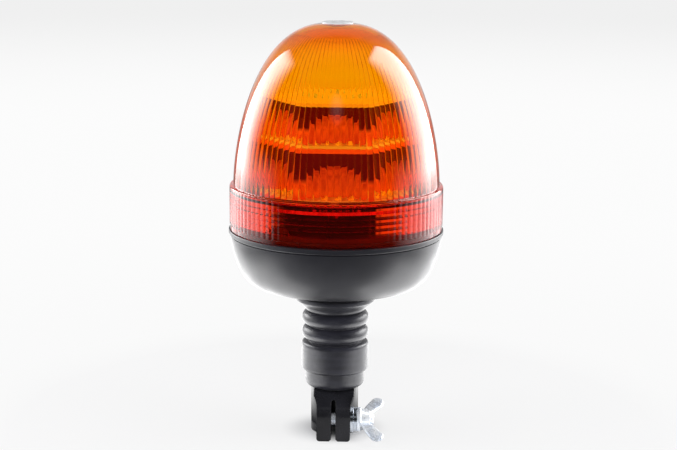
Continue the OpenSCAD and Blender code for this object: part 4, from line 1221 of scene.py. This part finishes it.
def add_front_card(centre, reach, slope, strength):
    """A dim card above the camera with a soft round glow, level along X and running along slope."""
    material, glow = glow_material("front_card")
    tree = material.node_tree
    away = add_node(material, "ShaderNodeVectorMath", operation="DISTANCE")
    away.inputs[1].default_value = centre
    wire(material, position_axes(tree)[0], away.inputs[0])
    wire(material, step(tree, away.outputs["Value"], 0, reach, strength, 0), glow.inputs["Strength"])
    across = Vector((reach, 0, 0))
    along = Vector(slope) * reach
    corners = [Vector(centre) + x * across + y * along for x, y in SQUARE]
    add_card("front_card", corners, material, seen_through=True)


add_softbox("left_softbox", -1, strength=9, front=(0.03, 0.25), high=0.85)
add_softbox("right_softbox", 1, strength=9, front=(-0.03, 0.19), high=1.15)
add_floor_strip("left_strip", -1, strength=4.4)
add_floor_strip("right_strip", 1, strength=4.2)
add_skirt_card("left_skirt_card", -1, strength=2.5)
add_skirt_card("right_skirt_card", 1, strength=2)
add_front_card(centre=(0.02, -1.0, 0.80), reach=0.22, slope=(0, 0.5, 1), strength=0.8)


def add_area(name, place, size, power):
    lamp = bpy.data.lights.new(name, "AREA")
    lamp.shape = "RECTANGLE"
    lamp.size = size[0]
    lamp.size_y = size[1]
    lamp.energy = power
    light = add_object(name, lamp)
    light.location = place
    light.rotation_euler = (Vector(LAMP_AIM) - Vector(place)).to_track_quat("-Z", "Y").to_euler()
    light.visible_glossy = False
    light.visible_transmission = False


add_area("left_lamp", place=(-0.8, -0.1, 0.42), size=(0.9, 0.8), power=9)
add_area("right_lamp", place=(0.8, -0.1, 0.42), size=(0.9, 0.8), power=9)
add_area("top_lamp", place=(0, 0, 1.3), size=(1.4, 1.4), power=6)
add_area("front_lamp", place=(0, -1.3, 0.5), size=(1.2, 0.8), power=16)


def make_world():
    """White to the camera and, except towards the front, through clear plastic; otherwise the tent."""
    world = bpy.data.worlds.new("light_tent")
    world.use_nodes = True
    tree = world.node_tree
    background = tree.nodes["Background"]
    background.inputs["Color"].default_value = (*BACKGROUND, 1)
    coords = tree.nodes.new("ShaderNodeTexCoord")
    split = tree.nodes.new("ShaderNodeSeparateXYZ")
    tree.links.new(coords.outputs["Generated"], split.inputs["Vector"])
    axes = split.outputs
    rays = tree.nodes.new("ShaderNodeLightPath")
    front = step(tree, axes["Y"], *TENT_FRONT, TENT_FRONT_LEVEL, 1)
    overhead = step(tree, axes["Z"], *TENT_OVERHEAD, 1, TENT_OVERHEAD_LEVEL)
    behind = step(tree, axes["Y"], *TENT_BEHIND, 0, TENT_BEHIND_LEVEL)
    tent = combine(tree, "MULTIPLY", front, combine(tree, "MAXIMUM", overhead, behind))
    turned = combine(tree, "MULTIPLY_ADD", axes["X"], SHADE_TURN, axes["Y"])
    shade = step(tree, turned, *SHADE_FRONT, SHADE_LEVEL, 1)
    through = combine(tree, "MULTIPLY", rays.outputs["Is Transmission Ray"], shade)
    straight = combine(tree, "MAXIMUM", rays.outputs["Is Camera Ray"], through)
    level = combine(tree, "MAXIMUM", tent, straight)
    tree.links.new(level, background.inputs["Strength"])
    bpy.context.scene.world = world


make_world()


# Camera at the photograph's angle

CAMERA_DISTANCE = 1.0
CAMERA_AZIMUTH = math.radians(1.5)
CAMERA_ELEVATION = math.radians(11.8)
CAMERA_ROLL = math.radians(0.5)
FOCAL_PX = 1613
PHOTO_WIDTH_PX = 677
SENSOR_MM = 36
AIM = Vector((1.5 * MM, 0, 131.5 * MM))


def make_camera():
    camera_data = bpy.data.cameras.new("camera")
    camera_data.sensor_width = SENSOR_MM
    camera_data.lens = FOCAL_PX / PHOTO_WIDTH_PX * SENSOR_MM
    camera = add_object("camera", camera_data)
    level = math.cos(CAMERA_ELEVATION)
    away = Vector((level * math.sin(CAMERA_AZIMUTH), -level * math.cos(CAMERA_AZIMUTH),
                   math.sin(CAMERA_ELEVATION)))
    look = (-away).to_track_quat("-Z", "Y").to_matrix().to_4x4()
    camera.matrix_world = (Matrix.Translation(AIM + away * CAMERA_DISTANCE) @ look
                           @ Matrix.Rotation(CAMERA_ROLL, 4, "Z"))
    bpy.context.scene.camera = camera


make_camera()
scene = bpy.context.scene
scene.view_settings.view_transform = "Standard"
scene.cycles.max_bounces = 24
scene.cycles.transmission_bounces = 20
scene.cycles.glossy_bounces = 12
